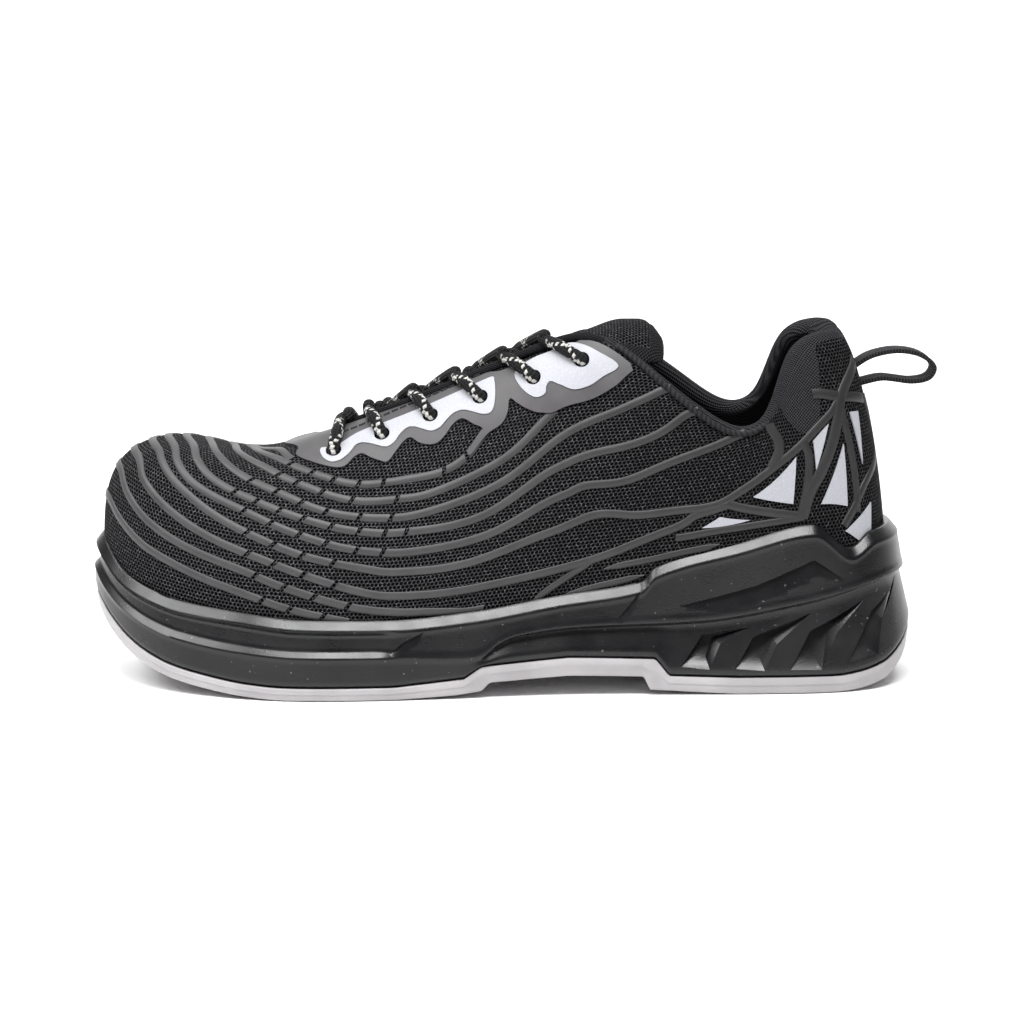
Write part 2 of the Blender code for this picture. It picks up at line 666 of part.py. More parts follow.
EYELETS = eyelet_spots()
HOLE_SIDES = 6
hole_points = []
hole_faces = []
for turn, rise in EYELETS:
    spot, normal, by_turn, by_rise = frame_at(turn, rise)
    first = by_rise / np.linalg.norm(by_rise)
    second = np.cross(normal, first)
    start = len(hole_points)
    for depth in (-7.0, 5.0):
        for i in range(HOLE_SIDES):
            angle = 2 * math.pi * i / HOLE_SIDES
            side = EYELET_RADIUS * (math.cos(angle) * first + math.sin(angle) * second)
            hole_points.append(spot + normal * depth + side)
    hole_faces.append(tuple(start + i for i in range(HOLE_SIDES)))
    hole_faces.append(tuple(start + HOLE_SIDES + i for i in range(HOLE_SIDES)))
    hole_faces += ring_faces(start, start + HOLE_SIDES, HOLE_SIDES)
holes = add_mesh("hole_cutter", hole_points, hole_faces, "knit_black")
combine(upper, holes, "DIFFERENCE")

# Film overlays are cut flat in (turn, rise), then wrapped between two forms of the upper's skin.
TURN_MM = 612.0
RISE_MM = 92.0
PRISM_REACH = 3.5


def inside(outline, spot):
    """Whether a flat place lies inside a closed outline."""
    x, y = spot
    hit = False
    for i in range(len(outline)):
        x0, y0 = outline[i - 1]
        x1, y1 = outline[i]
        if (y0 > y) != (y1 > y) and x < (x1 - x0) * (y - y0) / (y1 - y0) + x0:
            hit = not hit
    return hit


def prism(name, outlines, holes_cut, spacing):
    """Cutter through the upper's skin with the outlines, less its holes."""
    flat = [[(t * TURN_MM, r * RISE_MM) for t, r in outline] for outline in outlines]
    cut = [[(t * TURN_MM, r * RISE_MM) for t, r in outline] for outline in holes_cut]
    points = []
    edges = []
    for outline in flat + cut:
        start = len(points)
        points += outline
        edges += [(start + i, start + (i + 1) % len(outline)) for i in range(len(outline))]
    low_x, low_y = np.min(points, axis=0)
    high_x, high_y = np.max(points, axis=0)
    for x in np.arange(low_x, high_x, spacing):
        for y in np.arange(low_y, high_y, spacing):
            near = min((x - px) ** 2 + (y - py) ** 2 for px, py in points)
            if near > (0.5 * spacing) ** 2:
                points.append((x, y))
    flat_points = [Vector(point) for point in points]
    spots, _, triangles, _, _, _ = delaunay_2d_cdt(flat_points, edges, [], 0, 1e-5)
    kept = []
    for triangle in triangles:
        middle = sum((spots[i] for i in triangle), Vector((0, 0))) / 3
        wanted = any(inside(outline, middle) for outline in flat)
        if wanted and not any(inside(outline, middle) for outline in cut):
            kept.append(tuple(triangle))
    used = sorted({i for triangle in kept for i in triangle})
    number = {old: new for new, old in enumerate(used)}
    turns = np.array([spots[i].x / TURN_MM for i in used])
    rises = np.array([spots[i].y / RISE_MM for i in used])
    count = len(used)
    low_skin = on_upper(turns, rises, np.full(count, -PRISM_REACH))
    high_skin = on_upper(turns, rises, np.full(count, PRISM_REACH))
    faces = []
    sides = {}
    for triangle in kept:
        a, b, c = (number[i] for i in triangle)
        faces.append((a, c, b))
        faces.append((a + count, b + count, c + count))
        for pair in ((a, b), (b, c), (c, a)):
            if pair[::-1] in sides:
                del sides[pair[::-1]]
            else:
                sides[pair] = True
    faces += [(a, b, b + count, a + count) for a, b in sides]
    return add_mesh(name, np.concatenate([low_skin, high_skin]), faces, "film_grey")


def film(name, outlines, holes_cut, spacing, rows):
    """Film between two larger forms of the upper, cut to the outlines."""
    shells = []
    for out, order in ((GAP, rows), (GAP + FILM, rows[::-1])):
        for rise in order:
            level = np.full(AROUND, rise)
            shells.append(on_upper(RING, level, np.full(AROUND, out)))
    slab = stacked(name, shells, "film_grey", closed=True)
    combine(slab, prism(name + "_cutter", outlines, holes_cut, spacing), "INTERSECT")
    return merge_flat(slab)


# Eyestay: strip round the throat, wide up the instep and narrow at the front: (turn, width).
EYESTAY_EDGE = 1.0
EYESTAY_WIDTH = [
    (0.236, 12.0), (0.247, 23.0), (0.265, 29.5), (0.32, 28.0), (0.375, 32.0), (0.395, 28.0),
    (0.42, 18.0), (0.46, 12.0), (0.5, 10.0),
]
EYESTAY_END_TURN = EYESTAY_WIDTH[0][0]
inner_turns = [turn for turn in RING if EYESTAY_END_TURN + 0.005 < turn < 0.995 - EYESTAY_END_TURN]
eyestay_turns = np.array([EYESTAY_END_TURN, *inner_turns, 1.0 - EYESTAY_END_TURN])
eyestay_lengths = meridian_length(eyestay_turns)
eyestay_width = smooth(EYESTAY_WIDTH, np.minimum(eyestay_turns, 1.0 - eyestay_turns))
top_border = list(zip(eyestay_turns, 1.0 - EYESTAY_EDGE / eyestay_lengths))
low_border = list(zip(eyestay_turns, 1.0 - eyestay_width / eyestay_lengths))
eyestay_holes = [circle_on_upper(turn, rise, EYELET_RADIUS + 0.7, HOLE_SIDES) for turn, rise in EYELETS]
eyestay = film("eyestay", [top_border + low_border[::-1]], eyestay_holes, 11.0, UPPER_ROWS[5:])

# Heel cage: struts as side-view lines, (along, height), mirrored to the medial side.
Strut = namedtuple("Strut", "width line")
STRUTS = [
    Strut(5.0, [(27.7, 119.7), (30.1, 105.4), (37.8, 86.0), (43.5, 65.7)]),
    Strut(4.0, [(39.4, 107.1), (30.0, 105.6), (17.0, 103.4)]),
    Strut(4.5, [(30.1, 103.2), (47.0, 90.0), (53.5, 83.0), (71.0, 69.5), (84.0, 65.2)]),
    Strut(4.0, [(27.0, 103.2), (23.5, 88.2), (21.0, 72.2), (19.0, 63.2)]),
    Strut(4.0, [(13.5, 87.2), (20.5, 74.2), (28.2, 62.2)]),
    Strut(3.6, [(71.0, 69.5), (60.0, 68.2), (44.0, 65.7)]),
    Strut(3.6, [(88.0, 58.7), (66.0, 61.7), (42.0, 64.7)]),
]
SIDE_TURNS = np.linspace(0.0, 0.3, 121)
SIDE_RISES = np.linspace(0.15, 1.0, 86)
grid_turn, grid_rise = np.meshgrid(SIDE_TURNS, SIDE_RISES, indexing="ij")
grid_turn, grid_rise = grid_turn.ravel(), grid_rise.ravel()
grid_skin = upper_skin(grid_turn, grid_rise)


def from_side(along, height):
    """Turn and rise of the lateral place that shows here from the side."""
    away = (grid_skin[:, 0] - along) ** 2 + (grid_skin[:, 2] - height) ** 2
    best = int(np.argmin(away))
    turn, rise = grid_turn[best], grid_rise[best]
    spot, _, by_turn, by_rise = frame_at(turn, rise)
    slopes = np.array([[by_turn[0], by_rise[0]], [by_turn[2], by_rise[2]]])
    move = np.array([along - spot[0], height - spot[2]])
    if turn > 0.01 and np.linalg.norm(move) < 2.0:
        turn, rise = np.array([turn, rise]) + np.linalg.solve(slopes, move)
    return turn, rise


def strut_outline(row):
    """Band of true width round one strut's line."""
    spots = [from_side(along, height) for along, height in row.line]
    left = []
    right = []
    for i, (turn, rise) in enumerate(spots):
        before = np.array(spots[max(i - 1, 0)])
        after = np.array(spots[min(i + 1, len(spots) - 1)])
        _, normal, by_turn, by_rise = frame_at(turn, rise)
        run = by_turn * (after - before)[0] + by_rise * (after - before)[1]
        side = np.cross(normal, run / np.linalg.norm(run)) * row.width / 2
        slopes = np.stack([by_turn, by_rise], axis=1)
        d_turn, d_rise = np.linalg.lstsq(slopes, side, rcond=None)[0]
        left.append((turn + d_turn, rise + d_rise))
        right.append((turn - d_turn, rise - d_rise))
    return left + right[::-1]


cage_outlines = [strut_outline(row) for row in STRUTS]
cage_outlines += [[(-turn, rise) for turn, rise in outline] for outline in cage_outlines]
cage = film("heel_cage", cage_outlines, [], 9.0, UPPER_ROWS[2:])


# Lace: one bar at the front and five crossings. Each strand leaves a hole, lies over the eyestay's
# edge and the tongue, and stops short of the opposite edge, under which it passes on to the next hole.
STRAND_SIDES = 6
STRAND_STEPS = 13
STRAND_STOP = 5.0
STRAND_BACK = -1.5
LACE_CLEAR = 0.45
BALL_SPOTS = [(0.0, 0.0)]
for share in (0.4, 0.75, 0.97):
    BALL_SPOTS += [(share, 2 * math.pi * i / 10) for i in range(10)]
tongue_tree = tree_of(tongue)
REST_ON = ((upper_tree, LACE_RADIUS + GAP + FILM + LACE_CLEAR), (tongue_tree, LACE_RADIUS + LACE_CLEAR))


def ball_height(along, across):
    """Height of a strand's middle where it rests on the eyestay and the tongue."""
    best = 0.0
    for tree, radius in REST_ON:
        for share, angle in BALL_SPOTS:
            x = along + radius * share * math.cos(angle)
            y = across + radius * share * math.sin(angle)
            spot, _, _, _ = tree.ray_cast(framed(x, y, 200.0), Vector((0, 0, -1)))
            if spot is not None:
                best = max(best, spot.z / MM + radius * math.sqrt(1 - share * share))
    return best


def taut(places, heights):
    """Corners of a string pulled tight over the given heights."""
    hull = []
    for spot in zip(places, heights):
        while len(hull) > 1:
            (x0, y0), (x1, y1) = hull[-2], hull[-1]
            if (y1 - y0) * (spot[0] - x0) > (spot[1] - y0) * (x1 - x0):
                break
            hull.pop()
        hull.append(spot)
    return np.array(hull)


def strand(name, start, end):
    """Tube laid tight from one plan place to another."""
    shares = np.linspace(0.0, 1.0, STRAND_STEPS)
    plan = np.outer(1 - shares, start) + np.outer(shares, end)
    hull = taut(shares, [ball_height(x, y) for x, y in plan])
    path = np.column_stack([np.outer(1 - hull[:, 0], start) + np.outer(hull[:, 0], end), hull[:, 1]])
    points = []
    faces = []
    for i, spot in enumerate(path):
        run = path[min(i + 1, len(path) - 1)] - path[max(i - 1, 0)]
        side = np.cross(run, (0.0, 0.0, 1.0))
        side = side / np.linalg.norm(side)
        up = np.cross(side, run / np.linalg.norm(run))
        for k in range(STRAND_SIDES):
            angle = 2 * math.pi * k / STRAND_SIDES
            points.append(spot + LACE_RADIUS * (math.cos(angle) * side + math.sin(angle) * up))
    for i in range(len(path) - 1):
        faces += ring_faces(i * STRAND_SIDES, (i + 1) * STRAND_SIDES, STRAND_SIDES)
    last = (len(path) - 1) * STRAND_SIDES
    faces.append(tuple(range(STRAND_SIDES)))
    faces.append(tuple(last + k for k in range(STRAND_SIDES)))
    return add_mesh(name, points, faces, "lace_black")


hole_plan = [upper_skin([turn], [rise])[0][:2] for turn, rise in EYELETS]
edge_plan = [upper_skin([turn], [1.0])[0][:2] for turn, _ in EYELETS]
strand("lace_bar", hole_plan[0], hole_plan[6])


def crossing_end(number, lateral):
    """Where the strand to the next hole forward goes under the eyestay of one side."""
    near = edge_plan[number - 1 if lateral else number + 5]
    far = edge_plan[number + 5 if lateral else number - 1]
    inward = (far - near) / np.linalg.norm(far - near)
    return near + inward * STRAND_STOP - np.array([STRAND_BACK, 0.0])


for number in range(1, 6):
    first = strand("lace_cross_%d" % number, hole_plan[number], crossing_end(number, False))
    other = strand("lace_over_%d" % number, hole_plan[number + 6], crossing_end(number, True))
    combine(first, other, "UNION")

# Pull loop: webbing from the back of the collar, out and back in, (along, height).
LOOP_WIDTH = 13.0
LOOP_THICK = 1.6
LOOP_ENDS = (113.0, 107.4)
LOOP_LINE = [
    (16.4, 117.6), (8.0, 119.6), (0.5, 119.0), (-4.6, 116.6), (-7.0, 113.4),
    (-4.8, 109.8), (1.0, 108.6), (8.0, 109.4), (13.0, 109.6),
]
back_rises = np.linspace(0.5, 1.0, 101)
back_skin = upper_skin(np.zeros(101), back_rises)
loop_ends = []
for height in LOOP_ENDS:
    along = float(np.interp(height, back_skin[:, 2], back_skin[:, 0]))
    loop_ends.append((along - GAP - 0.8 * LOOP_THICK, height))
line_points = np.array([loop_ends[0], *LOOP_LINE, loop_ends[1]])
loop_points = []
loop_faces = []
for i, (along, height) in enumerate(line_points):
    run = line_points[min(i + 1, len(line_points) - 1)] - line_points[max(i - 1, 0)]
    side = np.array([-run[1], run[0]]) / np.linalg.norm(run) * LOOP_THICK / 2
    for across, sign in ((-1, -1), (1, -1), (1, 1), (-1, 1)):
        loop_points.append((along + side[0] * sign, across * LOOP_WIDTH / 2, height + side[1] * sign))
for i in range(len(line_points) - 1):
    loop_faces += ring_faces(i * 4, (i + 1) * 4, 4)
loop_faces.append((0, 1, 2, 3))
loop_faces.append(tuple(len(loop_points) - 4 + k for k in range(4)))
add_mesh("pull_loop", loop_points, loop_faces, "lace_black")
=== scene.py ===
"""Looks of a low safety shoe for the left foot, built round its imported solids.

Tables are in millimetres: "along" runs forward from the back of the sole, "height" runs up from the
floor, lateral is the wearer's left. Lines on the outer side are drawn as picture places, x then y.
"""

import math
from collections import namedtuple

import bmesh
import bpy
import numpy as np
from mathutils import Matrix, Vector
from mathutils.bvhtree import BVHTree
from mathutils.geometry import delaunay_2d_cdt


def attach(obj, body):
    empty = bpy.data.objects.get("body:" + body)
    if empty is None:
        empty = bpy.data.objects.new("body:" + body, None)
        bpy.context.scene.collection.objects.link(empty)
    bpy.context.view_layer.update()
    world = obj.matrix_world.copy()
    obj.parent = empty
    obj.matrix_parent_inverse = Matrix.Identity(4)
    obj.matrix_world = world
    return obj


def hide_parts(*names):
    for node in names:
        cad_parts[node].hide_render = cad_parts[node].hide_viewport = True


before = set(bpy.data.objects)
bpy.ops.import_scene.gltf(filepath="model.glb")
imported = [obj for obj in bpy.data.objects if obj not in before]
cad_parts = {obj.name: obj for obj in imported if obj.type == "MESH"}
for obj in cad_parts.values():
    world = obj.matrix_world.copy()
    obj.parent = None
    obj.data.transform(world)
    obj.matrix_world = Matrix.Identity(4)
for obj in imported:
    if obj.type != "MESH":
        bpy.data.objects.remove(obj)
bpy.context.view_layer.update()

# Studio: a white paper sweep under two strip lights, with a panel that keeps the backdrop white.
# The camera faces the shoe's outer side from a little above.
PICTURE_SIDE = 1024
PICTURE_SCALE = 2.73
VIEW_RISE = math.radians(9.0)
VIEW_DISTANCE = 1200.0
VIEW_HEIGHT = 59.9
SENSOR = 36.0
MM = 0.001

camera_data = bpy.data.cameras.new("camera")
camera_data.sensor_width = SENSOR
camera_data.lens = SENSOR * PICTURE_SCALE * VIEW_DISTANCE / PICTURE_SIDE
camera = bpy.data.objects.new("camera", camera_data)
camera.location = (
    0.0,
    VIEW_DISTANCE * math.cos(VIEW_RISE) * MM,
    (VIEW_HEIGHT + VIEW_DISTANCE * math.sin(VIEW_RISE)) * MM,
)
camera.rotation_euler = (math.pi / 2 - VIEW_RISE, 0.0, math.pi)
bpy.context.scene.collection.objects.link(camera)
bpy.context.scene.camera = camera
bpy.context.scene.view_settings.view_transform = "Standard"

Panel = namedtuple("Panel", "name place aim size power")
PANELS = [
    Panel("overhead_strip", (-0.05, 0.46, 1.0), (0.0, 0.0, 0.05), (0.8, 0.3), 15.0),
    Panel("toe_strip", (0.78, 0.22, 0.92), (0.1, 0.0, 0.05), (0.55, 0.5), 8.5),
    Panel("backdrop_panel", (0.0, -0.8, 1.8), (0.0, -2.4, 0.7), (3.0, 0.8), 70.0),
]
for panel in PANELS:
    light = bpy.data.lights.new(panel.name, "AREA")
    light.shape = "RECTANGLE"
    light.size, light.size_y = panel.size
    light.energy = panel.power
    lamp = bpy.data.objects.new(panel.name, light)
    lamp.location = panel.place
    lamp.rotation_euler = (Vector(panel.aim) - Vector(panel.place)).to_track_quat("-Z", "Y").to_euler()
    bpy.context.scene.collection.objects.link(lamp)

world = bpy.data.worlds.new("studio")
world.use_nodes = True
world.node_tree.nodes["Background"].inputs["Color"].default_value = (1.0, 1.0, 1.0, 1.0)
world.node_tree.nodes["Background"].inputs["Strength"].default_value = 0.2
bpy.context.scene.world = world


def plain_material(name, color, roughness):
    """Material with one shader, ready for its nodes."""
    material = bpy.data.materials.new(name)
    material.use_nodes = True
    shader = material.node_tree.nodes["Principled BSDF"]
    shader.inputs["Base Color"].default_value = (*color, 1.0)
    shader.inputs["Roughness"].default_value = roughness
    return material, material.node_tree, shader


SWEEP_HALF = 4.0
SWEEP_FRONT = 3.0
SWEEP_BACK = -1.6
SWEEP_BEND = 0.8
SWEEP_TOP = 3.0
SWEEP_STEPS = 16
sweep_line = [(SWEEP_FRONT, 0.0)]
for step in range(SWEEP_STEPS + 1):
    angle = math.pi / 2 * step / SWEEP_STEPS
    sweep_line.append((SWEEP_BACK - SWEEP_BEND * math.sin(angle), SWEEP_BEND * (1 - math.cos(angle))))
sweep_line.append((SWEEP_BACK - SWEEP_BEND, SWEEP_TOP))
sweep_points = [(side * SWEEP_HALF, y, z) for y, z in sweep_line for side in (-1, 1)]
sweep_faces = [(2 * i, 2 * i + 1, 2 * i + 3, 2 * i + 2) for i in range(len(sweep_line) - 1)]
sweep_mesh = bpy.data.meshes.new("paper_sweep")
sweep_mesh.from_pydata(sweep_points, [], sweep_faces)
sweep_mesh.shade_smooth()
paper, _, _ = plain_material("paper", (0.93, 0.93, 0.93), 0.9)
sweep_mesh.materials.append(paper)
sweep = bpy.data.objects.new("paper_sweep", sweep_mesh)
bpy.context.scene.collection.objects.link(sweep)

# Last: the foot-shaped form that the upper is drawn over, and the edge of the sole round it.
# One row is one section round the loop, heel to toe; each row but the ends serves both sides.
SOLE_LENGTH = 300.0
LOOP_REACH = 7.8
MIDDLE_ALONG = (SOLE_LENGTH - LOOP_REACH) / 2
MIDDLE_ACROSS = 0.7
SWING = 8.0
SWING_START = 100.0
GAP = 0.35
WALL = 2.4
TROUGH_DEPTH = 7.0
TROUGH_ALONG = 240.0
TROUGH_LENGTH = 22.0
MEDIAL_COLLAR_RISE = 2.0
MEDIAL_THROAT_DROP = 5.0
COLLAR_PAD = 3.0
THROAT_PAD = 1.6
THROAT_HALF = 14.0
PAD_START = 0.5
PAD_RUN = 0.35
TURN_PROBE = 0.003
RISE_PROBE = 0.02
Section = namedtuple(
    "Section",
    "along lateral medial inset top_along top_half top_height square belly pad lean",
)
SECTIONS = [
    Section(0.0, 0.0, 0.0, 9.5, 26.5, 0.0, 125.2, 1.5, 0.0, 7.0, 5.5),
    Section(4.5, 19.5, 19.5, 9.0, 28.0, 10.5, 125.7, 1.5, 0.5, 7.0, 5.0),
    Section(15.0, 31.5, 31.0, 8.0, 35.0, 18.5, 125.2, 1.5, 1.0, 7.0, 4.0),
    Section(30.0, 38.0, 37.5, 7.0, 43.5, 24.0, 120.2, 1.5, 1.5, 6.5, 3.0),
    Section(48.0, 40.5, 39.5, 6.5, 49.5, 28.5, 107.2, 1.55, 2.0, 6.0, 2.0),
    Section(66.0, 41.3, 39.8, 6.5, 56.0, 31.5, 96.2, 1.6, 2.5, 5.0, 2.0),
    Section(84.0, 41.8, 39.0, 6.5, 67.0, 33.0, 93.7, 1.6, 3.0, 4.5, 1.8),
    Section(102.0, 42.3, 37.8, 6.5, 80.0, 33.5, 101.2, 1.6, 3.5, 3.5, 1.6),
    Section(119.0, 43.2, 36.8, 6.5, 94.0, 31.5, 112.7, 1.55, 4.0, 2.0, 1.5),
    Section(136.0, 45.0, 37.2, 6.5, 111.0, 25.0, 125.2, 1.5, 4.0, 0.8, 1.5),
    Section(154.0, 47.8, 39.3, 6.5, 127.0, 19.0, 125.2, 1.42, 4.0, 0.0, 1.5),
    Section(174.0, 51.3, 43.2, 6.5, 147.0, 16.5, 117.2, 1.4, 4.0, 0.0, 1.5),
    Section(195.0, 54.5, 47.0, 6.5, 167.0, 15.0, 108.2, 1.45, 4.0, 0.0, 1.5),
    Section(217.0, 56.6, 49.8, 6.5, 186.0, 13.8, 100.2, 1.6, 3.5, 0.0, 1.5),
    Section(241.0, 54.0, 49.0, 6.5, 200.0, 12.0, 94.7, 2.0, 2.5, 0.0, 1.5),
    Section(265.0, 45.5, 43.0, 6.5, 209.0, 9.0, 92.0, 2.7, 1.0, 0.0, 1.5),
    Section(284.0, 32.5, 31.5, 4.6, 213.5, 6.0, 91.2, 3.7, 0.0, 0.0, 0.6),
    Section(296.0, 15.5, 15.5, 3.6, 215.5, 3.0, 91.0, 4.4, 0.0, 0.0, 0.3),
    Section(300.0, 0.0, 0.0, 3.4, 216.0, 0.0, 90.9, 4.6, 0.0, 0.0, 0.2),
]
DECK = [(0, 38.2), (50, 34.2), (100, 29.2), (150, 23.2), (200, 18.7), (240, 19.7), (270, 24.2), (300, 34.2)]


def smooth(table, where):
    """Read a table of pairs along a curve that doesn't overshoot its rows."""
    rows = np.array(table, float)
    place, value = rows[:, 0], rows[:, 1]
    step = np.diff(place)
    slope = np.diff(value) / step
    same = slope[:-1] * slope[1:] > 0
    mean = 2 * slope[:-1] * slope[1:] / np.where(same, slope[:-1] + slope[1:], 1.0)
    lean = np.concatenate([slope[:1], np.where(same, mean, 0.0), slope[-1:]])
    where = np.clip(where, place[0], place[-1])
    k = np.clip(np.searchsorted(place, where, side="right") - 1, 0, len(step) - 1)
    f = (where - place[k]) / step[k]
    ends = value[k] * (2 * f**3 - 3 * f**2 + 1) + value[k + 1] * (3 * f**2 - 2 * f**3)
    bends = lean[k] * (f**3 - 2 * f**2 + f) + lean[k + 1] * (f**3 - f**2)
    return ends + bends * step[k]


def straight(table, where):
    """Read a table of pairs along straight lines."""
    rows = np.array(table, float)
    return np.interp(where, rows[:, 0], rows[:, 1])


def swing(along):
    """Sideways place of the shoe's middle line, which turns in towards the toe."""
    share = np.maximum(np.asarray(along) - SWING_START, 0.0) / (SOLE_LENGTH - SWING_START)
    return -SWING * share**2


def closed_spline(knots, where, slope=False):
    """Smooth closed curve through evenly numbered knots, read at where, 0 to 1."""
    count = len(knots)
    unit = np.eye(count)
    matrix = 4 * unit + np.roll(unit, 1, axis=0) + np.roll(unit, -1, axis=0)
    pull = 3 * (np.roll(knots, -1, axis=0) - np.roll(knots, 1, axis=0))
    tangent = np.linalg.solve(matrix, pull)
    place = np.mod(where, 1.0) * count
    k = np.floor(place).astype(int) % count
    n = (k + 1) % count
    f = (place - np.floor(place))[:, None]
    if slope:
        ends = (6 * f**2 - 6 * f) * (knots[k] - knots[n])
        return ends + (3 * f**2 - 4 * f + 1) * tangent[k] + (3 * f**2 - 2 * f) * tangent[n]
    ends = (2 * f**3 - 3 * f**2 + 1) * knots[k] + (3 * f**2 - 2 * f**3) * knots[n]
    return ends + (f**3 - 2 * f**2 + f) * tangent[k] + (f**3 - f**2) * tangent[n]


def loop_knots():
    """Sections as one closed loop: heel, lateral side, toe, medial side."""
    knots = []
    for number, row in enumerate(SECTIONS + SECTIONS[-2:0:-1]):
        lateral = number < len(SECTIONS)
        side = 1 if lateral else -1
        half = row.lateral if lateral else row.medial
        collar = min(row.pad / COLLAR_PAD, 1.0)
        throat = max(1.0 - row.pad / THROAT_PAD, 0.0) * min(row.top_half / THROAT_HALF, 1.0)
        rise = 0.0 if lateral else MEDIAL_COLLAR_RISE * collar - MEDIAL_THROAT_DROP * throat
        knots.append([
            row.along, swing(row.along) + side * half, row.inset,
            row.top_along, swing(row.top_along) + side * row.top_half, row.top_height + rise,
            row.square, row.belly, row.pad, row.lean,
        ])
    return np.array(knots, float)


LOOP = loop_knots()
ARC_STEPS = np.linspace(0.0, 1.0, 65)
ARC = math.pi / 2 * ARC_STEPS**2 * (3 - 2 * ARC_STEPS)


def outward(turn):
    """Plan direction that points out of the sole's edge."""
    slope = closed_spline(LOOP[:, :2], turn, slope=True)
    normal = np.stack([-slope[:, 1], slope[:, 0]], axis=1)
    return normal / np.linalg.norm(normal, axis=1, keepdims=True)


def sole_edge(turn, out):
    """Plan points at a distance outside the sole's edge."""
    return closed_spline(LOOP[:, :2], turn) + outward(turn) * np.reshape(out, (-1, 1))


def meridians(turn):
    """Curves of the upper from its foot, inside the cup, to its top edge."""
    knots = closed_spline(LOOP, turn)
    out = outward(turn)
    foot = knots[:, :2] - out * knots[:, 2:3]
    top = knots[:, 3:5]
    foot_height = (smooth(DECK, foot[:, 0]) + GAP)[:, None]
    power = 2.0 / knots[:, 6:7]
    run = np.cos(ARC)[None, :] ** power
    lift = np.sin(ARC)[None, :] ** power
    belly = knots[:, 7:8] * np.sin(math.pi * lift)
    plan = top[:, None, :] + (foot - top)[:, None, :] * run[..., None]
    plan = plan + out[:, None, :] * belly[..., None]
    height = foot_height + (knots[:, 5:6] - foot_height) * lift
    trough = np.exp(-(((plan[..., 0] - TROUGH_ALONG) / TROUGH_LENGTH) ** 2))
    height = height - TROUGH_DEPTH * trough * lift**3
    return np.concatenate([plan, height[..., None]], axis=2)


def reach_along(paths):
    """Distance from the start of each path to each of its points."""
    step = np.linalg.norm(np.diff(paths, axis=1), axis=2)
    return np.concatenate([np.zeros((len(paths), 1)), np.cumsum(step, axis=1)], axis=1)


def meridian_length(turn):
    """Length of a meridian from foot to top edge."""
    return reach_along(meridians(np.atleast_1d(np.asarray(turn, float))))[:, -1]


def upper_skin(turn, rise):
    """Points of the upper's outside; rise is the share of the way up a meridian."""
    turn, rise = np.broadcast_arrays(np.asarray(turn, float), np.asarray(rise, float))
    flat_turn, flat_rise = turn.ravel(), rise.ravel()
    path = meridians(flat_turn)
    reach = reach_along(path)
    want = np.clip(flat_rise, 0.0, 1.0) * reach[:, -1]
    k = np.clip((reach <= want[:, None]).sum(axis=1) - 1, 0, len(ARC) - 2)
    row = np.arange(len(path))
    f = ((want - reach[row, k]) / np.maximum(reach[row, k + 1] - reach[row, k], 1e-9))[:, None]
    return path[row, k] * (1 - f) + path[row, k + 1] * f


def upper_normal(turn, rise):
    """Direction straight out of the upper."""
    turn, rise = np.broadcast_arrays(np.asarray(turn, float), np.asarray(rise, float))
    turn, rise = turn.ravel(), rise.ravel()
    along = upper_skin(turn + TURN_PROBE, rise) - upper_skin(turn - TURN_PROBE, rise)
    above = upper_skin(turn, np.minimum(rise + RISE_PROBE, 1))
    normal = np.cross(above - upper_skin(turn, np.maximum(rise - RISE_PROBE, 0)), along)
    return normal / np.linalg.norm(normal, axis=1, keepdims=True)


def upper_wall(turn, rise):
    """Wall thickness, padded towards the collar."""
    pad = closed_spline(LOOP[:, 8:9], np.ravel(turn))[:, 0]
    f = np.clip((np.ravel(rise) - PAD_START) / PAD_RUN, 0.0, 1.0)
    return WALL + np.maximum(pad, 0.0) * f * f * (3 - 2 * f)


def on_upper(turn, rise, out, steady=0.98):
    """Points at a distance outside the upper; directions hold still above the steady rise."""
    normal = upper_normal(turn, np.minimum(rise, steady))
    return upper_skin(turn, rise) + normal * np.reshape(out, (-1, 1))


def skin_grid(turns, rises):
    """Points of the upper's outside on a grid of turns and rises."""
    path = meridians(turns)
    reach = reach_along(path)
    grid = np.empty((len(turns), len(rises), 3))
    for i in range(len(turns)):
        for axis in range(3):
            grid[i, :, axis] = np.interp(rises * reach[i, -1], reach[i], path[i, :, axis])
    return grid


# Outsole: a pale grey rubber tread, moulded in one piece and bonded under the midsole.
# It steps up under the arch and is cut by slanted cross grooves.
TREAD = [
    (0, 15), (5, 8), (12, 3), (22, 0.6), (30, 0), (66, 0), (97, 1.8), (99, 6.6), (126, 7.2),
    (154, 5.4), (157, 2.4), (166, 1.2), (188, 0), (226, 0), (240, 0.8), (257, 3.0), (268, 5.2),
    (276, 8), (284, 12), (292, 18), (300, 27),
]
OUTSOLE_TOP = [
    (0, 21.5), (5, 14.5), (12, 9.5), (22, 7), (30, 6.2), (66, 6.2), (90, 7), (95, 13.2), (126, 14),
    (157, 11.4), (163, 7.2), (188, 4.8), (226, 4.8), (240, 5.6), (257, 8), (268, 10.2), (276, 13),
    (284, 17.2), (292, 23.6), (300, 32.5),
]
ARCH_BACK = 66.0
ARCH_FRONT = 188.0
TREAD_EDGE = -1.0
TreadRow = namedtuple("TreadRow", "out share lift")
TREAD_PROFILE = [
    TreadRow(-1.9, 0.0, 0.0),
    TreadRow(-1.0, 0.0, 0.12),
    TreadRow(-0.3, 0.0, 0.5),
    TreadRow(0.0, 0.0, 1.1),
    TreadRow(0.1, 0.52, 0.0),
    TreadRow(0.45, 0.6, 0.0),
    TreadRow(0.5, 0.9, 0.0),
    TreadRow(0.2, 1.0, 0.0),
    TreadRow(-2.0, 1.0, 0.0),
]
SOLE_TURNS = np.arange(640) / 640
GROOVE_DEPTH = 2.4
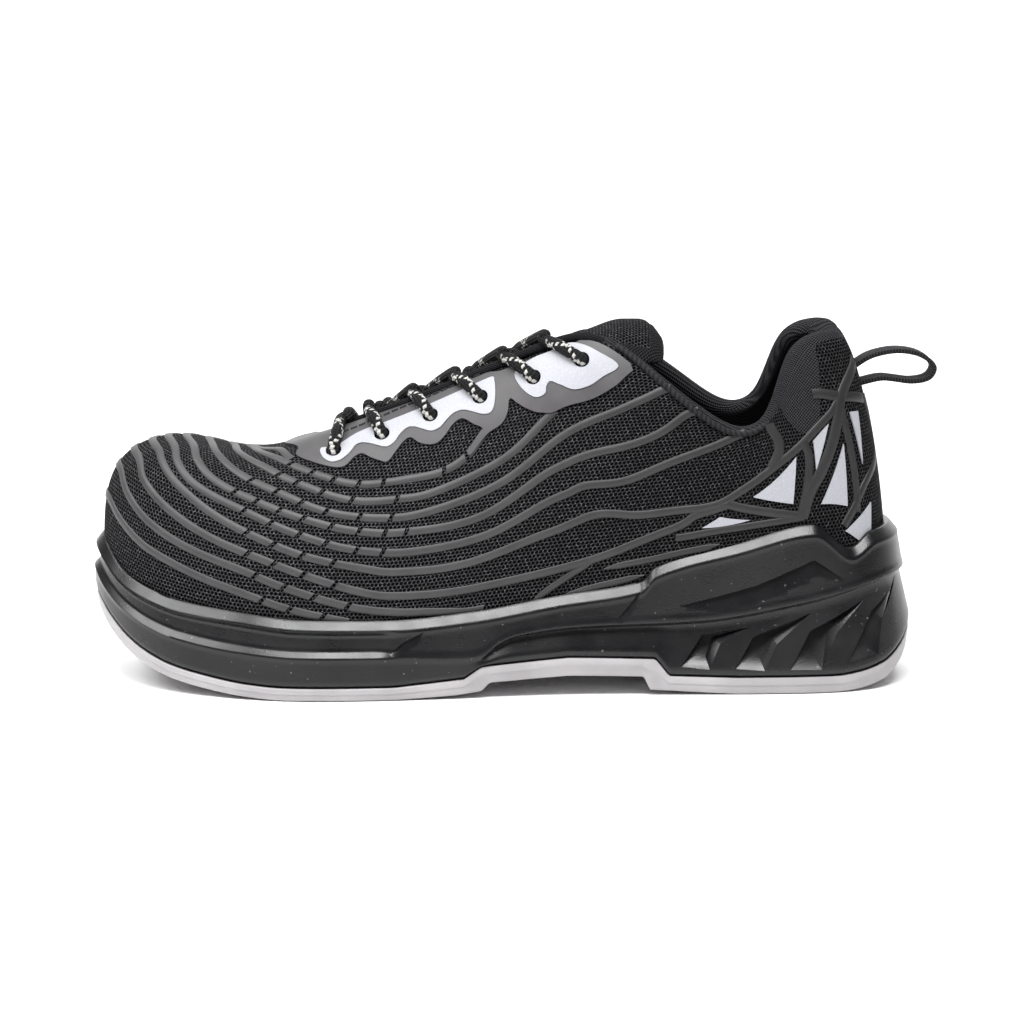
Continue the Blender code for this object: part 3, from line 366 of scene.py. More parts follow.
GROOVE_WIDTH = 4.0
GROOVE_SLANT = 0.22
HEEL_GROOVES = (38.0, 52.0, 66.0, 80.0)
HEEL_GROOVE_SHIFT = 2.0
FOREFOOT_GROOVES = (172.0, 186.0, 200.0, 214.0, 228.0)
TOE_GROOVES = (242.0, 256.0)
GROOVE_REACH = 34.0
TOE_GROOVE_REACH = 26.5
GROOVE_START = 4.0
CUT_SHARP = math.radians(32.0)


def band_faces(rows, count):
    """Faces between rows of points that each go once round."""
    faces = []
    for row in range(rows - 1):
        for i in range(count):
            j = (i + 1) % count
            a = row * count
            faces.append((a + i, a + j, a + count + j, a + count + i))
    return faces


def block_faces(start, rows, count):
    """Faces of a closed block made of rings of points: its two ends and the sides between."""
    last = start + (rows - 1) * count
    ends = [tuple(range(start, start + count)), tuple(range(last, last + count))]
    return ends + [tuple(start + i for i in face) for face in band_faces(rows, count)]


def ladder(first, count):
    """Close a ring with strips from its lateral to its medial side."""
    half = count // 2
    faces = [(first, first + 1, first + count - 1)]
    for i in range(1, half - 1):
        faces.append((first + i, first + i + 1, first + count - i - 1, first + count - i))
    faces.append((first + half - 1, first + half, first + half + 1))
    return faces


def add_piece(name, points, faces, material, **places):
    """Smooth-shaded object from points of the tables, with named layers of places on its cloth."""
    shifted = (np.asarray(points, float) - np.array([MIDDLE_ALONG, MIDDLE_ACROSS, 0.0])) * MM
    mesh = bpy.data.meshes.new(name)
    mesh.from_pydata(shifted.tolist(), [], faces)
    corners = np.empty(len(mesh.loops), int)
    mesh.loops.foreach_get("vertex_index", corners)
    for layer_name, spots in places.items():
        layer = mesh.uv_layers.new(name=layer_name)
        layer.data.foreach_set("uv", np.asarray(spots, float)[corners].ravel())
    shape = bmesh.new()
    shape.from_mesh(mesh)
    bmesh.ops.recalc_face_normals(shape, faces=shape.faces)
    shape.to_mesh(mesh)
    shape.free()
    mesh.materials.append(material)
    mesh.shade_smooth()
    piece = bpy.data.objects.new(name, mesh)
    bpy.context.scene.collection.objects.link(piece)
    return piece


def on_shoe(piece, slot, *nodes):
    """Fix a piece to the shoe and hide the solids that it stands for; the slot is not used."""
    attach(piece, "root")
    if nodes:
        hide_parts(*nodes)


def noise(tree, scale, detail=3.0):
    """Noise through the shoe's own space, scale in bumps for each metre."""
    where = tree.nodes.new("ShaderNodeTexCoord")
    made = tree.nodes.new("ShaderNodeTexNoise")
    made.inputs["Scale"].default_value = scale
    made.inputs["Detail"].default_value = detail
    tree.links.new(where.outputs["Object"], made.inputs["Vector"])
    return made.outputs["Fac"]


def stretch(tree, value, low, high, to_low=0.0, to_high=1.0):
    """Value mapped smoothly from one range to another."""
    made = tree.nodes.new("ShaderNodeMapRange")
    made.interpolation_type = "SMOOTHSTEP"
    tree.links.new(value, made.inputs[0])
    for socket, number in zip(made.inputs[1:5], (low, high, to_low, to_high)):
        socket.default_value = number
    return made.outputs[0]


def tint(tree, share, first, second):
    """Mix of two colours by a share."""
    made = tree.nodes.new("ShaderNodeMix")
    made.data_type = "RGBA"
    tree.links.new(share, made.inputs["Factor"])
    for socket, color in ((made.inputs[6], first), (made.inputs[7], second)):
        if isinstance(color, tuple):
            socket.default_value = (*color, 1.0)
        else:
            tree.links.new(color, socket)
    return made.outputs[2]


def colored(tree, shader, share, first, second):
    """Colour a surface with a mix of two colours."""
    tree.links.new(tint(tree, share, first, second), shader.inputs["Base Color"])


def bump(tree, shader, height, distance, strength=1.0):
    """Raise a surface's shading by a height, distance in metres."""
    made = tree.nodes.new("ShaderNodeBump")
    made.inputs["Distance"].default_value = distance
    made.inputs["Strength"].default_value = strength
    tree.links.new(height, made.inputs["Height"])
    tree.links.new(made.outputs["Normal"], shader.inputs["Normal"])


def sole_height(table, along):
    """Height from a table: crisp steps under the arch, smooth curves elsewhere."""
    arch = (along > ARCH_BACK) & (along < ARCH_FRONT)
    return np.where(arch, straight(table, along), smooth(table, along))


def outsole_ring(out, share, lift):
    """Ring on the outsole's side, share of the way from the tread to its top."""
    plan = sole_edge(SOLE_TURNS, out)
    low = sole_height(TREAD, plan[:, 0])
    high = sole_height(OUTSOLE_TOP, plan[:, 0])
    return np.column_stack([plan, low + (high - low) * share + lift])


outsole_rings = [outsole_ring(row.out + TREAD_EDGE, row.share, row.lift) for row in TREAD_PROFILE]
around = len(SOLE_TURNS)
outsole_faces = band_faces(len(outsole_rings), around)
outsole_faces += ladder(0, around) + ladder((len(outsole_rings) - 1) * around, around)

pale_rubber, tree, shader = plain_material("pale_rubber", (0.52, 0.5, 0.51), 0.5)
cloud = stretch(tree, noise(tree, 60.0), 0.3, 0.7)
colored(tree, shader, cloud, (0.39, 0.376, 0.386), (0.465, 0.45, 0.46))
bump(tree, shader, noise(tree, 1500.0), 0.0001, 0.5)

outsole = add_piece("tread", np.concatenate(outsole_rings), outsole_faces, pale_rubber)


def cut(piece, points, faces, name):
    """Cut a piece with a block and keep the result as its mesh."""
    block = add_piece(name, points, faces, piece.data.materials[0])
    change = piece.modifiers.new(name, "BOOLEAN")
    change.object = block
    change.operation = "DIFFERENCE"
    change.solver = "EXACT"
    settled = bpy.data.meshes.new_from_object(piece.evaluated_get(bpy.context.evaluated_depsgraph_get()))
    piece.modifiers.clear()
    piece.data = settled
    bpy.data.objects.remove(block, do_unlink=True)
    settled.shade_smooth()
    settled.set_sharp_from_angle(angle=CUT_SHARP)


def groove_blocks():
    """Blocks that cut the cross grooves, slanted from side to side."""
    points = []
    faces = []
    for middle in HEEL_GROOVES + FOREFOOT_GROOVES + TOE_GROOVES:
        floor = float(straight(TREAD, middle))
        reach = TOE_GROOVE_REACH if middle in TOE_GROOVES else GROOVE_REACH
        shift = HEEL_GROOVE_SHIFT if middle in HEEL_GROOVES else 0.0
        faces += block_faces(len(points), 2, 4)
        for height in (floor - GROOVE_START, floor + GROOVE_DEPTH):
            for run, side in ((-1, -1), (1, -1), (1, 1), (-1, 1)):
                across = side * reach + float(swing(middle)) + shift
                points.append((middle + run * GROOVE_WIDTH / 2 + GROOVE_SLANT * across, across, height))
    return points, faces


cut(outsole, *groove_blocks(), "grooves")
on_shoe(outsole, "outsole_rubber", "outsole")

# Midsole: a black moulded cup with a glossy skin. Its wall has a rounded bead along the top, a ridge
# round the front, a clip at the heel and deep slashes in the heel wall.
TOP_EDGE = [
    (0, 58.2), (12, 57.2), (23, 52), (38, 61), (66, 54.5), (95, 46.3), (100, 41.1), (130, 36.2),
    (160, 31.2), (190, 28.8), (222, 29.2), (243, 31.2), (267, 33.6), (276, 35.8), (283, 38.2), (289, 41.2),
    (295, 46.7), (300, 52.2),
]
STEP_LINE = [
    (0, 41.5), (5, 41), (42, 33.2), (79, 27), (125, 25), (145, 22.2), (151, 19.5), (157, 15.2),
    (165, 14.6), (190, 15.4), (222, 15.6), (243, 17), (267, 20.3), (276, 22.9), (283, 26),
    (289, 29.4), (295, 34.2), (300, 40),
]
LET_IN_ABOVE = [(0, 0), (184, 0), (194, 1.8), (300, 1.8)]
LET_IN_BELOW = [(0, 1.5), (60, 2.0), (130, 2.4), (150, 2.0), (160, 0), (300, 0)]
WallRow = namedtuple("WallRow", "level step most span out let_in")
WALL_PROFILE = [
    WallRow("foot", 0.0, 0.0, "lower", -1.6, "none"),
    WallRow("foot", 0.9, 0.12, "lower", -0.5, "none"),
    WallRow("foot", 1.6, 0.2, "lower", 0.0, "none"),
    WallRow("foot", 3.2, 0.35, "lower", 0.0, "none"),
    WallRow("line", -1.2, 0.2, "lower", 0.0, "below"),
    WallRow("line", 0.0, 0.0, "lower", 0.4, "none"),
    WallRow("line", 2.8, 0.18, "higher", 0.0, "above"),
    WallRow("top", -5.6, 0.5, "higher", -0.3, "above"),
    WallRow("top", -4.0, 0.38, "higher", -0.1, "none"),
    WallRow("top", -0.2, 1.0, "higher", -2.9, "none"),
    WallRow("top", -0.4, 1.0, "higher", -3.7, "none"),
]
CORNER_ROUND = 0.7
CORNER_MOST = 0.45
LONG_WALL = 4.0
SOLE_GAP = 0.1
RIM_UNDER = 0.6
RIM_RISES = np.linspace(0.0, 0.75, 61)
WALL_STEPS = 8
CUP_CLEAR = 0.15

edge_along = sole_edge(SOLE_TURNS, 0.0)[:, 0]
low = sole_height(OUTSOLE_TOP, edge_along) + SOLE_GAP
top = smooth(TOP_EDGE, edge_along)
line = smooth(STEP_LINE, edge_along)
lean = closed_spline(LOOP[:, 9:10], SOLE_TURNS)[:, 0]
levels = {"foot": low, "line": line, "top": top}
spans = {"lower": line - low, "higher": top - line}
let_ins = {
    "none": np.zeros(around),
    "above": smooth(LET_IN_ABOVE, edge_along),
    "below": smooth(LET_IN_BELOW, edge_along),
}


def wall_ring(height, out):
    """Ring on the midsole's outer wall, which leans in towards the top."""
    share = (height - low) / (top - low)
    return np.column_stack([sole_edge(SOLE_TURNS, out - lean * share), height])


wall_rings = []
for row in WALL_PROFILE:
    step = math.copysign(1.0, row.step) * np.minimum(abs(row.step), row.most * spans[row.span])
    wall_rings.append(wall_ring(levels[row.level] + step, row.out - let_ins[row.let_in]))


def rounded(rings, radius):
    """Rings with each corner of the profile turned into a short curve, and long walls divided."""
    made = [rings[0]]
    for before, corner, after in zip(rings, rings[1:], rings[2:]):
        into = before - corner
        out_of = after - corner
        into_length = np.linalg.norm(into, axis=1, keepdims=True) + 1e-9
        out_length = np.linalg.norm(out_of, axis=1, keepdims=True) + 1e-9
        first = corner + into * np.minimum(radius / into_length, CORNER_MOST)
        last = corner + out_of * np.minimum(radius / out_length, CORNER_MOST)
        start = made[-1]
        if np.median(into_length) > LONG_WALL:
            for step in range(1, WALL_STEPS):
                made.append(start + (first - start) * step / WALL_STEPS)
        made += [first, first * 0.25 + corner * 0.5 + last * 0.25, last]
    made.append(rings[-1])
    return made


midsole_rings = rounded(wall_rings, CORNER_ROUND)
rim_skin = skin_grid(SOLE_TURNS, RIM_RISES)
rim_rise = np.array([np.interp(top[i] - RIM_UNDER, rim_skin[i, :, 2], RIM_RISES) for i in range(around)])
for share in (1.0, 0.5, 0.0):
    midsole_rings.append(on_upper(SOLE_TURNS, rim_rise * share, np.full(around, CUP_CLEAR)))
deck_edge = midsole_rings[-1].copy()
deck_edge[:, 2] = smooth(DECK, deck_edge[:, 0])
midsole_rings.append(deck_edge)

black_rubber, tree, shader = plain_material("black_rubber", (0.008, 0.008, 0.009), 0.32)
shader.inputs["Specular IOR Level"].default_value = 0.48
scuff = noise(tree, 90.0, 2.0)
tree.links.new(stretch(tree, scuff, 0.35, 0.7, 0.27, 0.33), shader.inputs["Roughness"])
haze = stretch(tree, noise(tree, 45.0), 0.3, 0.7)
dust = stretch(tree, noise(tree, 750.0, 1.0), 0.74, 0.8)
skin_color = tint(tree, haze, (0.002, 0.002, 0.003), (0.007, 0.007, 0.008))
colored(tree, shader, dust, skin_color, (0.12, 0.12, 0.12))
bump(tree, shader, noise(tree, 1500.0, 1.0), 0.0001, 0.35)

midsole_faces = band_faces(len(midsole_rings), around) + ladder(0, around)
midsole_faces += ladder((len(midsole_rings) - 1) * around, around)
midsole = add_piece("cup_sole", np.concatenate(midsole_rings), midsole_faces, black_rubber)

# Slashes cut in the heel wall, as picture places. The mouth goes round from the tip by the shoulder, the
# two corners of the foot and the bend; the floor has the same corners, and a ramp rises to the foot.
# Ledges let the wall in under a line; each recess runs out to nothing below.
Slash = namedtuple("Slash", "tip shoulder foot_front foot_back bend ramp_front ramp_back floor_bend")
SLASHES = [
    Slash((751, 627), (702, 635), (681, 667), (710, 670), (720, 644), (692, 658), (706, 658), (713, 638)),
    Slash((811, 613), (753, 637), (736, 669), (765, 671), (777, 644), (744, 658), (760, 658), (771, 637)),
    Slash((864, 599), (810, 631), (791, 670), (822, 670), (837, 633), (800, 656), (815, 656), (830, 626)),
    Slash((895, 573), (872, 610), (847, 664), (878, 654), (882, 618), (853, 650), (868, 646), (878, 611)),
]
SLASH_DEPTHS = (0.6, 4.0, 3.2, 3.1, 3.0)
SLASH_CORNERS = len(SLASH_DEPTHS)
CUT_OUT = 6.0
Ledge = namedtuple("Ledge", "line fall depth")
LEDGES = [
    Ledge([(680, 606), (716, 597), (756, 586), (802, 566), (814, 560), (828, 569), (846, 581)], 17.0, 1.4),
    Ledge([(616, 621), (628, 607), (641, 590)], 9.0, 0.8),
    Ledge([(389, 655), (403, 643), (424, 632)], 9.0, 0.8),
]
LEDGE_STATIONS = 40
LEDGE_START = 0.02
LEDGE_END = 0.05
LEDGE_LEAST = 1.5
LEDGE_TAPER = 4.0
EDGE_TURNS = np.linspace(-0.02, 0.5, 2081)
edge_line = sole_edge(EDGE_TURNS, 0.0)


def framed(along, across, height):
    """A place from the tables as a point of the part."""
    return Vector(((along - MIDDLE_ALONG) * MM, (across - MIDDLE_ACROSS) * MM, height * MM))


def tree_of(piece):
    """Search tree of a piece's final mesh."""
    return BVHTree.FromObject(piece, bpy.context.evaluated_depsgraph_get())


def on_wall(surface, place):
    """Turn, distance outside the sole's edge, and height where a picture place meets the wall."""
    right = (PICTURE_SIDE / 2 - place[0]) / (PICTURE_SCALE * VIEW_DISTANCE)
    up = (PICTURE_SIDE / 2 - place[1]) / (PICTURE_SCALE * VIEW_DISTANCE)
    aim = Vector((
        right,
        -math.cos(VIEW_RISE) - up * math.sin(VIEW_RISE),
        -math.sin(VIEW_RISE) + up * math.cos(VIEW_RISE),
    ))
    spot, _, _, _ = surface.ray_cast(camera.location, aim)
    plan = np.array([spot.x / MM + MIDDLE_ALONG, spot.y / MM + MIDDLE_ACROSS])
    best = int(np.argmin(np.sum((edge_line - plan) ** 2, axis=1)))
    turn = EDGE_TURNS[best]
    out = float((plan - edge_line[best]) @ outward(np.array([turn]))[0])
    return turn, out, spot.z / MM


def slash_blocks(surface):
    """Five-sided blocks that cut the slashes on both sides; each floor is smaller than its mouth."""
    points = []
    faces = []
    for row in SLASHES:
        mouth = [on_wall(surface, place) for place in row[:SLASH_CORNERS]]
        floor = [on_wall(surface, place) for place in (row.tip, row.shoulder, *row[SLASH_CORNERS:])]
        outside, flush = [-CUT_OUT] * SLASH_CORNERS, [0.0] * SLASH_CORNERS
        for lateral in (True, False):
            faces += block_faces(len(points), 3, SLASH_CORNERS)
            for corners, depths in ((mouth, outside), (mouth, flush), (floor, SLASH_DEPTHS)):
                for (turn, out, height), depth in zip(corners, depths):
                    turn = turn if lateral else 1.0 - turn
                    points.append([*sole_edge(np.array([turn]), out - depth)[0], height])
    return points, faces


def ledge_blocks(surface):
    """Long wedges that cut the ledges on both sides."""
    points = []
    faces = []
    for row in LEDGES:
        corners = np.array(row.line, float)
        passed = np.concatenate([[0.0], np.cumsum(np.linalg.norm(np.diff(corners, axis=0), axis=1))])
        shares = np.linspace(0.0, 1.0, LEDGE_STATIONS)
        line = np.column_stack([np.interp(shares * passed[-1], passed, column) for column in corners.T])
        fullness = np.minimum(np.minimum(shares, 1.0 - shares) * LEDGE_TAPER, 1.0)
        falls = LEDGE_LEAST + row.fall * fullness
        high = [on_wall(surface, place) for place in line]
        low = [on_wall(surface, place + (0.0, fall)) for place, fall in zip(line, falls)]
        for lateral in (True, False):
            faces += block_faces(len(points), LEDGE_STATIONS, 4)
            for upper_spot, lower_spot, full in zip(high, low, fullness):
                depths = (-CUT_OUT, row.depth * full - LEDGE_START, -LEDGE_END, -CUT_OUT)
                corners = (upper_spot, upper_spot, lower_spot, lower_spot)
                for (turn, out, height), depth in zip(corners, depths):
                    turn = turn if lateral else 1.0 - turn
                    points.append([*sole_edge(np.array([turn]), out - depth)[0], height])
    return points, faces


plain_wall = tree_of(midsole)
cut(midsole, *slash_blocks(plain_wall), "slashes")
cut(midsole, *ledge_blocks(plain_wall), "ledges")
on_shoe(midsole, "midsole_rubber", "midsole")

# Insole: a loose black footbed with a brushed cloth top, laid in the bottom of the upper.
# Its edge is rolled a little where the foam is cut.
FOOTBED_ROUND = 0.0012
FOOTBED_SHARP = math.radians(40.0)
WELD = 1e-6


def weld(source, mesh):
    """Copy of a source mesh with points in the same place joined."""
    shape = bmesh.new()
    shape.from_mesh(source)
    bmesh.ops.remove_doubles(shape, verts=shape.verts, dist=WELD)
    shape.to_mesh(mesh)
    shape.free()


def soft_copy(name, solid, material):
    """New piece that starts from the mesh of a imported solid."""
    mesh = bpy.data.meshes.new(name)
    weld(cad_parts[solid].data, mesh)
    mesh.materials.append(material)
    mesh.shade_smooth()
    mesh.set_sharp_from_angle(angle=FOOTBED_SHARP)
    piece = bpy.data.objects.new(name, mesh)
    bpy.context.scene.collection.objects.link(piece)
    return piece


footbed_cloth, tree, shader = plain_material("footbed_cloth", (0.03, 0.03, 0.033), 0.95)
shader.inputs["Sheen Weight"].default_value = 0.3
nap = stretch(tree, noise(tree, 700.0, 5.0), 0.3, 0.7)
colored(tree, shader, nap, (0.02, 0.02, 0.022), (0.05, 0.05, 0.055))
bump(tree, shader, nap, 0.0003, 0.7)
footbed = soft_copy("footbed", "insole", footbed_cloth)
rolled = footbed.modifiers.new("rolled_edge", "BEVEL")
rolled.width = FOOTBED_ROUND
rolled.segments = 3
rolled.limit_method = "ANGLE"
on_shoe(footbed, "footbed", "insole")

# Upper: one hollow knit shell, black open mesh outside and brushed lining inside, padded round the
# collar and cemented into the cup. Twelve lace holes are punched beside the throat.
UPPER_TURNS = np.arange(420) / 420
OUTER_RISES = np.linspace(0.0, 1.0, 80)
INNER_RISES = np.linspace(1.0, 0.0, 34)
RIM_STEPS = 8
RIM_CROWN = 0.38
RIM_STEADY = 0.9
MESH_PITCH = 1.5
MESH_THREAD = (0.047, 0.047, 0.05)
SIDE_TURN = 0.25
RIM_COVER = 5.0
# Painted shade: the closed lining darkens over this many millimetres inside the collar's edge.
INSIDE_SHADE_RUN = 5.0
COLLAR_CLOTH = [
    (0.0, 1.0), (0.068, 1.0), (0.072, 8.0), (0.084, 28.0), (0.092, 26.0), (0.1, 20.0), (0.108, 12.0),
    (0.117, 2.0), (0.5, 1.2),
]
upper_count = len(UPPER_TURNS)
outer_grid = skin_grid(UPPER_TURNS, OUTER_RISES)
rim_out = outer_grid[:, -1]
rim_wall = upper_wall(UPPER_TURNS, np.ones(upper_count))
rim_in = on_upper(UPPER_TURNS, np.ones(upper_count), -rim_wall, RIM_STEADY)
rim_run = np.roll(rim_out, -1, axis=0) - np.roll(rim_out, 1, axis=0)
rim_run = rim_run / np.linalg.norm(rim_run, axis=1, keepdims=True)
rim_up = upper_skin(UPPER_TURNS, 0.9) - upper_skin(UPPER_TURNS, 0.8)
rim_up = rim_up - rim_run * np.sum(rim_up * rim_run, axis=1, keepdims=True)
rim_up = rim_up / np.linalg.norm(rim_up, axis=1, keepdims=True)
upper_rings = [outer_grid[:, row] for row in range(len(OUTER_RISES))]
for step in range(1, RIM_STEPS):
    angle = math.pi * step / RIM_STEPS
    middle = (rim_out + rim_in) / 2 + (rim_out - rim_in) / 2 * math.cos(angle)
    upper_rings.append(middle + rim_up * (RIM_CROWN * rim_wall * math.sin(angle))[:, None])
for rise in INNER_RISES:
    level = np.full(upper_count, rise)
    upper_rings.append(on_upper(UPPER_TURNS, level, -upper_wall(UPPER_TURNS, level), RIM_STEADY))
upper_points = np.concatenate(upper_rings)
upper_faces = band_faces(len(upper_rings), upper_count)
last_ring = (len(upper_rings) - 1) * upper_count
for i in range(upper_count):
    j = (i + 1) % upper_count
    upper_faces.append((last_ring + i, last_ring + j, j, i))


def math_node(tree, operation, first, second=None):
    """Sum or curve of one or two sockets or numbers."""
    made = tree.nodes.new("ShaderNodeMath")
    made.operation = operation
    for socket, value in zip(made.inputs, (first, second)):
        if isinstance(value, (int, float)):
            socket.default_value = value
        elif value is not None:
            tree.links.new(value, socket)
    return made.outputs[0]


def cloth_place(rings):
    """Places on the cloth in millimetres: round from the middle of each side, and up."""
    rings = np.array(rings)
    around_step = np.linalg.norm(np.roll(rings, -1, axis=1) - rings, axis=2)
    run = np.concatenate([np.zeros((len(rings), 1)), np.cumsum(around_step, axis=1)[:, :-1]], axis=1)
    up_step = np.linalg.norm(np.diff(rings, axis=0), axis=2)
    up = np.concatenate([np.zeros((1, rings.shape[1])), np.cumsum(up_step, axis=0)])
    lateral = np.arange(rings.shape[1]) < rings.shape[1] // 2
    first = run[:, [int(SIDE_TURN * rings.shape[1])]]
    second = run[:, [int((1 - SIDE_TURN) * rings.shape[1])]]
    return np.stack([np.where(lateral, run - first, second - run), up], axis=2).reshape(-1, 2)


def cloth_axes(tree, layer_name="run"):
    """The two cloth places of a surface, in millimetres."""
    source = tree.nodes.new("ShaderNodeUVMap")
    source.uv_map = layer_name
    parts = tree.nodes.new("ShaderNodeSeparateXYZ")
    tree.links.new(source.outputs["UV"], parts.inputs[0])
    return parts.outputs[0], parts.outputs[1]


def wave(tree, value, length, shift=0.0):
    """Cosine of a place, one wave for each length."""
    turned = math_node(tree, "MULTIPLY", value, 2 * math.pi / length)
    return math_node(tree, "COSINE", math_node(tree, "ADD", turned, shift))


def forward(tree, back, front):
    """A number that goes from one value behind the collar to another at the ball of the foot."""
    where = tree.nodes.new("ShaderNodeTexCoord")
    parts = tree.nodes.new("ShaderNodeSeparateXYZ")
    tree.links.new(where.outputs["Object"], parts.inputs[0])
    return stretch(tree, parts.outputs[0], -0.1, 0.05, back, front)


def shaded(tree, color, share):
    """A colour scaled by a share: painted shade below one, painted light above one."""
    made = tree.nodes.new("ShaderNodeVectorMath")
    made.operation = "SCALE"
    tree.links.new(color, made.inputs[0])
    tree.links.new(share, made.inputs["Scale"])
    return made.outputs[0]


def open_mesh(name, pitch, thread, closed_dark, closed_light):
    """Black knit with round holes in staggered rows, and closed ribbed cloth short of the edge line."""
    material, tree, shader = plain_material(name, thread, 0.8)
    shader.inputs["Specular IOR Level"].default_value = 0.03
    across, up = cloth_axes(tree)
    wander = math_node(tree, "MULTIPLY", noise(tree, 130.0), 0.8)
    slant = math_node(tree, "MULTIPLY", math_node(tree, "ADD", across, wander), math.sin(math.pi / 3))
    half_up = math_node(tree, "MULTIPLY", up, 0.5)
    row = pitch * math.sin(math.pi / 3)
    leaning = math_node(tree, "ADD", wave(tree, math_node(tree, "ADD", slant, half_up), row),
                        wave(tree, math_node(tree, "SUBTRACT", slant, half_up), row))
    holes = stretch(tree, math_node(tree, "ADD", leaning, wave(tree, up, row)), -1.15, -0.15)
    # Painted highlights: noise lifts the threads to glints up to three times their colour.
    painted_glint = stretch(tree, noise(tree, 1300.0, 1.0), 0.52, 0.7)
    threads = tint(tree, painted_glint, thread, tuple(min(1.0, 3.0 * part) for part in thread))
    # Painted shade: the threads are darkened towards the rear of the shoe.
    threads = shaded(tree, threads, forward(tree, 0.6, 1.0))
    mesh_color = tint(tree, holes, threads, (0.0015, 0.0015, 0.0015))
    rib = math_node(tree, "MULTIPLY", wave(tree, across, 1.6), wave(tree, up, 1.2))
    closed_color = tint(tree, stretch(tree, rib, -0.6, 0.6), closed_dark, closed_light)
    distance, limit = cloth_axes(tree, "edge")
    # Painted shade: the closed cloth is darkened going in past the collar's edge into the shoe.
    closed_color = shaded(tree, closed_color, stretch(tree, distance, -INSIDE_SHADE_RUN, 0.0, 0.06, 1.0))
    opened = stretch(tree, math_node(tree, "SUBTRACT", distance, limit), -0.25, 0.25)
    colored(tree, shader, opened, closed_color, mesh_color)
    closed_height = math_node(tree, "MULTIPLY", rib, math_node(tree, "SUBTRACT", 1.0, opened))
    mesh_height = math_node(tree, "MULTIPLY", holes, opened)
    bump(tree, shader, math_node(tree, "SUBTRACT", closed_height, mesh_height), 0.0005, 0.9)
    return material


knit_mesh = open_mesh("knit_mesh", MESH_PITCH, MESH_THREAD, (0.01, 0.01, 0.011), (0.06, 0.06, 0.065))
below_rim = np.zeros((len(upper_rings), upper_count))
below_rim[len(OUTER_RISES):] = np.linspace(0.0, -INSIDE_SHADE_RUN, RIM_STEPS - 1 + len(INNER_RISES))[:, None]
below_rim[-len(INNER_RISES):] -= np.outer(1.0 - INNER_RISES, meridian_length(UPPER_TURNS))
below_rim[:len(OUTER_RISES)] = np.outer(1.0 - OUTER_RISES, meridian_length(UPPER_TURNS))
cloth_limit = np.full((len(upper_rings), upper_count), RIM_COVER)
cloth_limit[:len(OUTER_RISES)] = straight(COLLAR_CLOTH, np.minimum(UPPER_TURNS, 1.0 - UPPER_TURNS))
edge_places = np.column_stack([below_rim.ravel(), cloth_limit.ravel()])
upper = add_piece(
    "knit_upper", upper_points, upper_faces, knit_mesh, run=cloth_place(upper_rings), edge=edge_places,
)

EYELET_RADIUS = 2.6
HOLE_SIDES = 20
HOLE_REACH = (-7.0, 5.0)
SLOPE_TURN = 0.002
SLOPE_RISE = 0.01
THROAT_TURNS = np.linspace(0.25, 0.49, 241)
Eyelet = namedtuple("Eyelet", "along inset")
EYELET_ROWS = [
    Eyelet(209.6, 25.0),
    Eyelet(192.4, 19.4),
    Eyelet(175.0, 16.6),
    Eyelet(157.2, 16.2),
    Eyelet(138.2, 16.2),
    Eyelet(121.2, 11.0),
]


def eyelet_spots():
    """Turn and rise of each lace hole, lateral first, then medial."""
    lateral = []
    medial = []
    for row in EYELET_ROWS:
        rises = 1.0 - row.inset / meridian_length(THROAT_TURNS)
        turn = float(np.interp(row.along, upper_skin(THROAT_TURNS, rises)[:, 0], THROAT_TURNS))
        lateral.append((turn, 1.0 - row.inset / meridian_length(turn)[0]))
        medial.append((1.0 - turn, 1.0 - row.inset / meridian_length(1.0 - turn)[0]))
    return lateral + medial


def frame_at(turn, rise):
    """Point, outward direction, and the two slopes of the upper's skin at one place."""
    spot = upper_skin([turn], [rise])[0]
    normal = upper_normal([turn], [rise])[0]
    by_turn = upper_skin([turn + SLOPE_TURN], [rise])[0] - upper_skin([turn - SLOPE_TURN], [rise])[0]
    by_rise = upper_skin([turn], [rise + SLOPE_RISE])[0] - upper_skin([turn], [rise - SLOPE_RISE])[0]
    return spot, normal, by_turn / (2 * SLOPE_TURN), by_rise / (2 * SLOPE_RISE)


def round_moves(normal, by_rise, radius, sides):
    """Moves from the middle of a round hole to points of its rim."""
    first = by_rise / np.linalg.norm(by_rise)
    angles = 2 * math.pi * np.arange(sides) / sides
    return radius * (np.outer(np.cos(angles), first) + np.outer(np.sin(angles), np.cross(normal, first)))


def circle_on_upper(turn, rise, radius, sides):
    """Ring of (turn, rise) places at a true radius round one place."""
    _, normal, by_turn, by_rise = frame_at(turn, rise)
    slopes = np.stack([by_turn, by_rise], axis=1)
    moves = round_moves(normal, by_rise, radius, sides)
    return np.array([turn, rise]) + np.linalg.lstsq(slopes, moves.T, rcond=None)[0].T


EYELETS = eyelet_spots()
hole_points = []
hole_faces = []
for turn, rise in EYELETS:
    spot, normal, _, by_rise = frame_at(turn, rise)
    rim = spot + round_moves(normal, by_rise, EYELET_RADIUS, HOLE_SIDES)
    hole_faces += block_faces(len(hole_points), 2, HOLE_SIDES)
    for depth in HOLE_REACH:
        hole_points += list(rim + normal * depth)
cut(upper, hole_points, hole_faces, "lace_holes")
on_shoe(upper, "knit_black", "upper")

# Piping: a thin twisted cord in black cloth along each side of the collar's edge.
# It is sewn into the seam between mesh and lining, and its ends sink into the seam.
PIPING_RADIUS = 1.05
PIPING_INSET = 0.8
PIPING_TURNS = np.linspace(0.128, 0.248, 60)
PIPING_OUT = [(0.128, -2.2), (0.142, 0.4), (0.244, 0.4), (0.248, -2.2)]
PIPING_SIDES = 12
PIPING_TWIST = 2.0
PIPING_STEADY = 0.98
CORD_STEP = 0.8
BEND_STEPS = 24


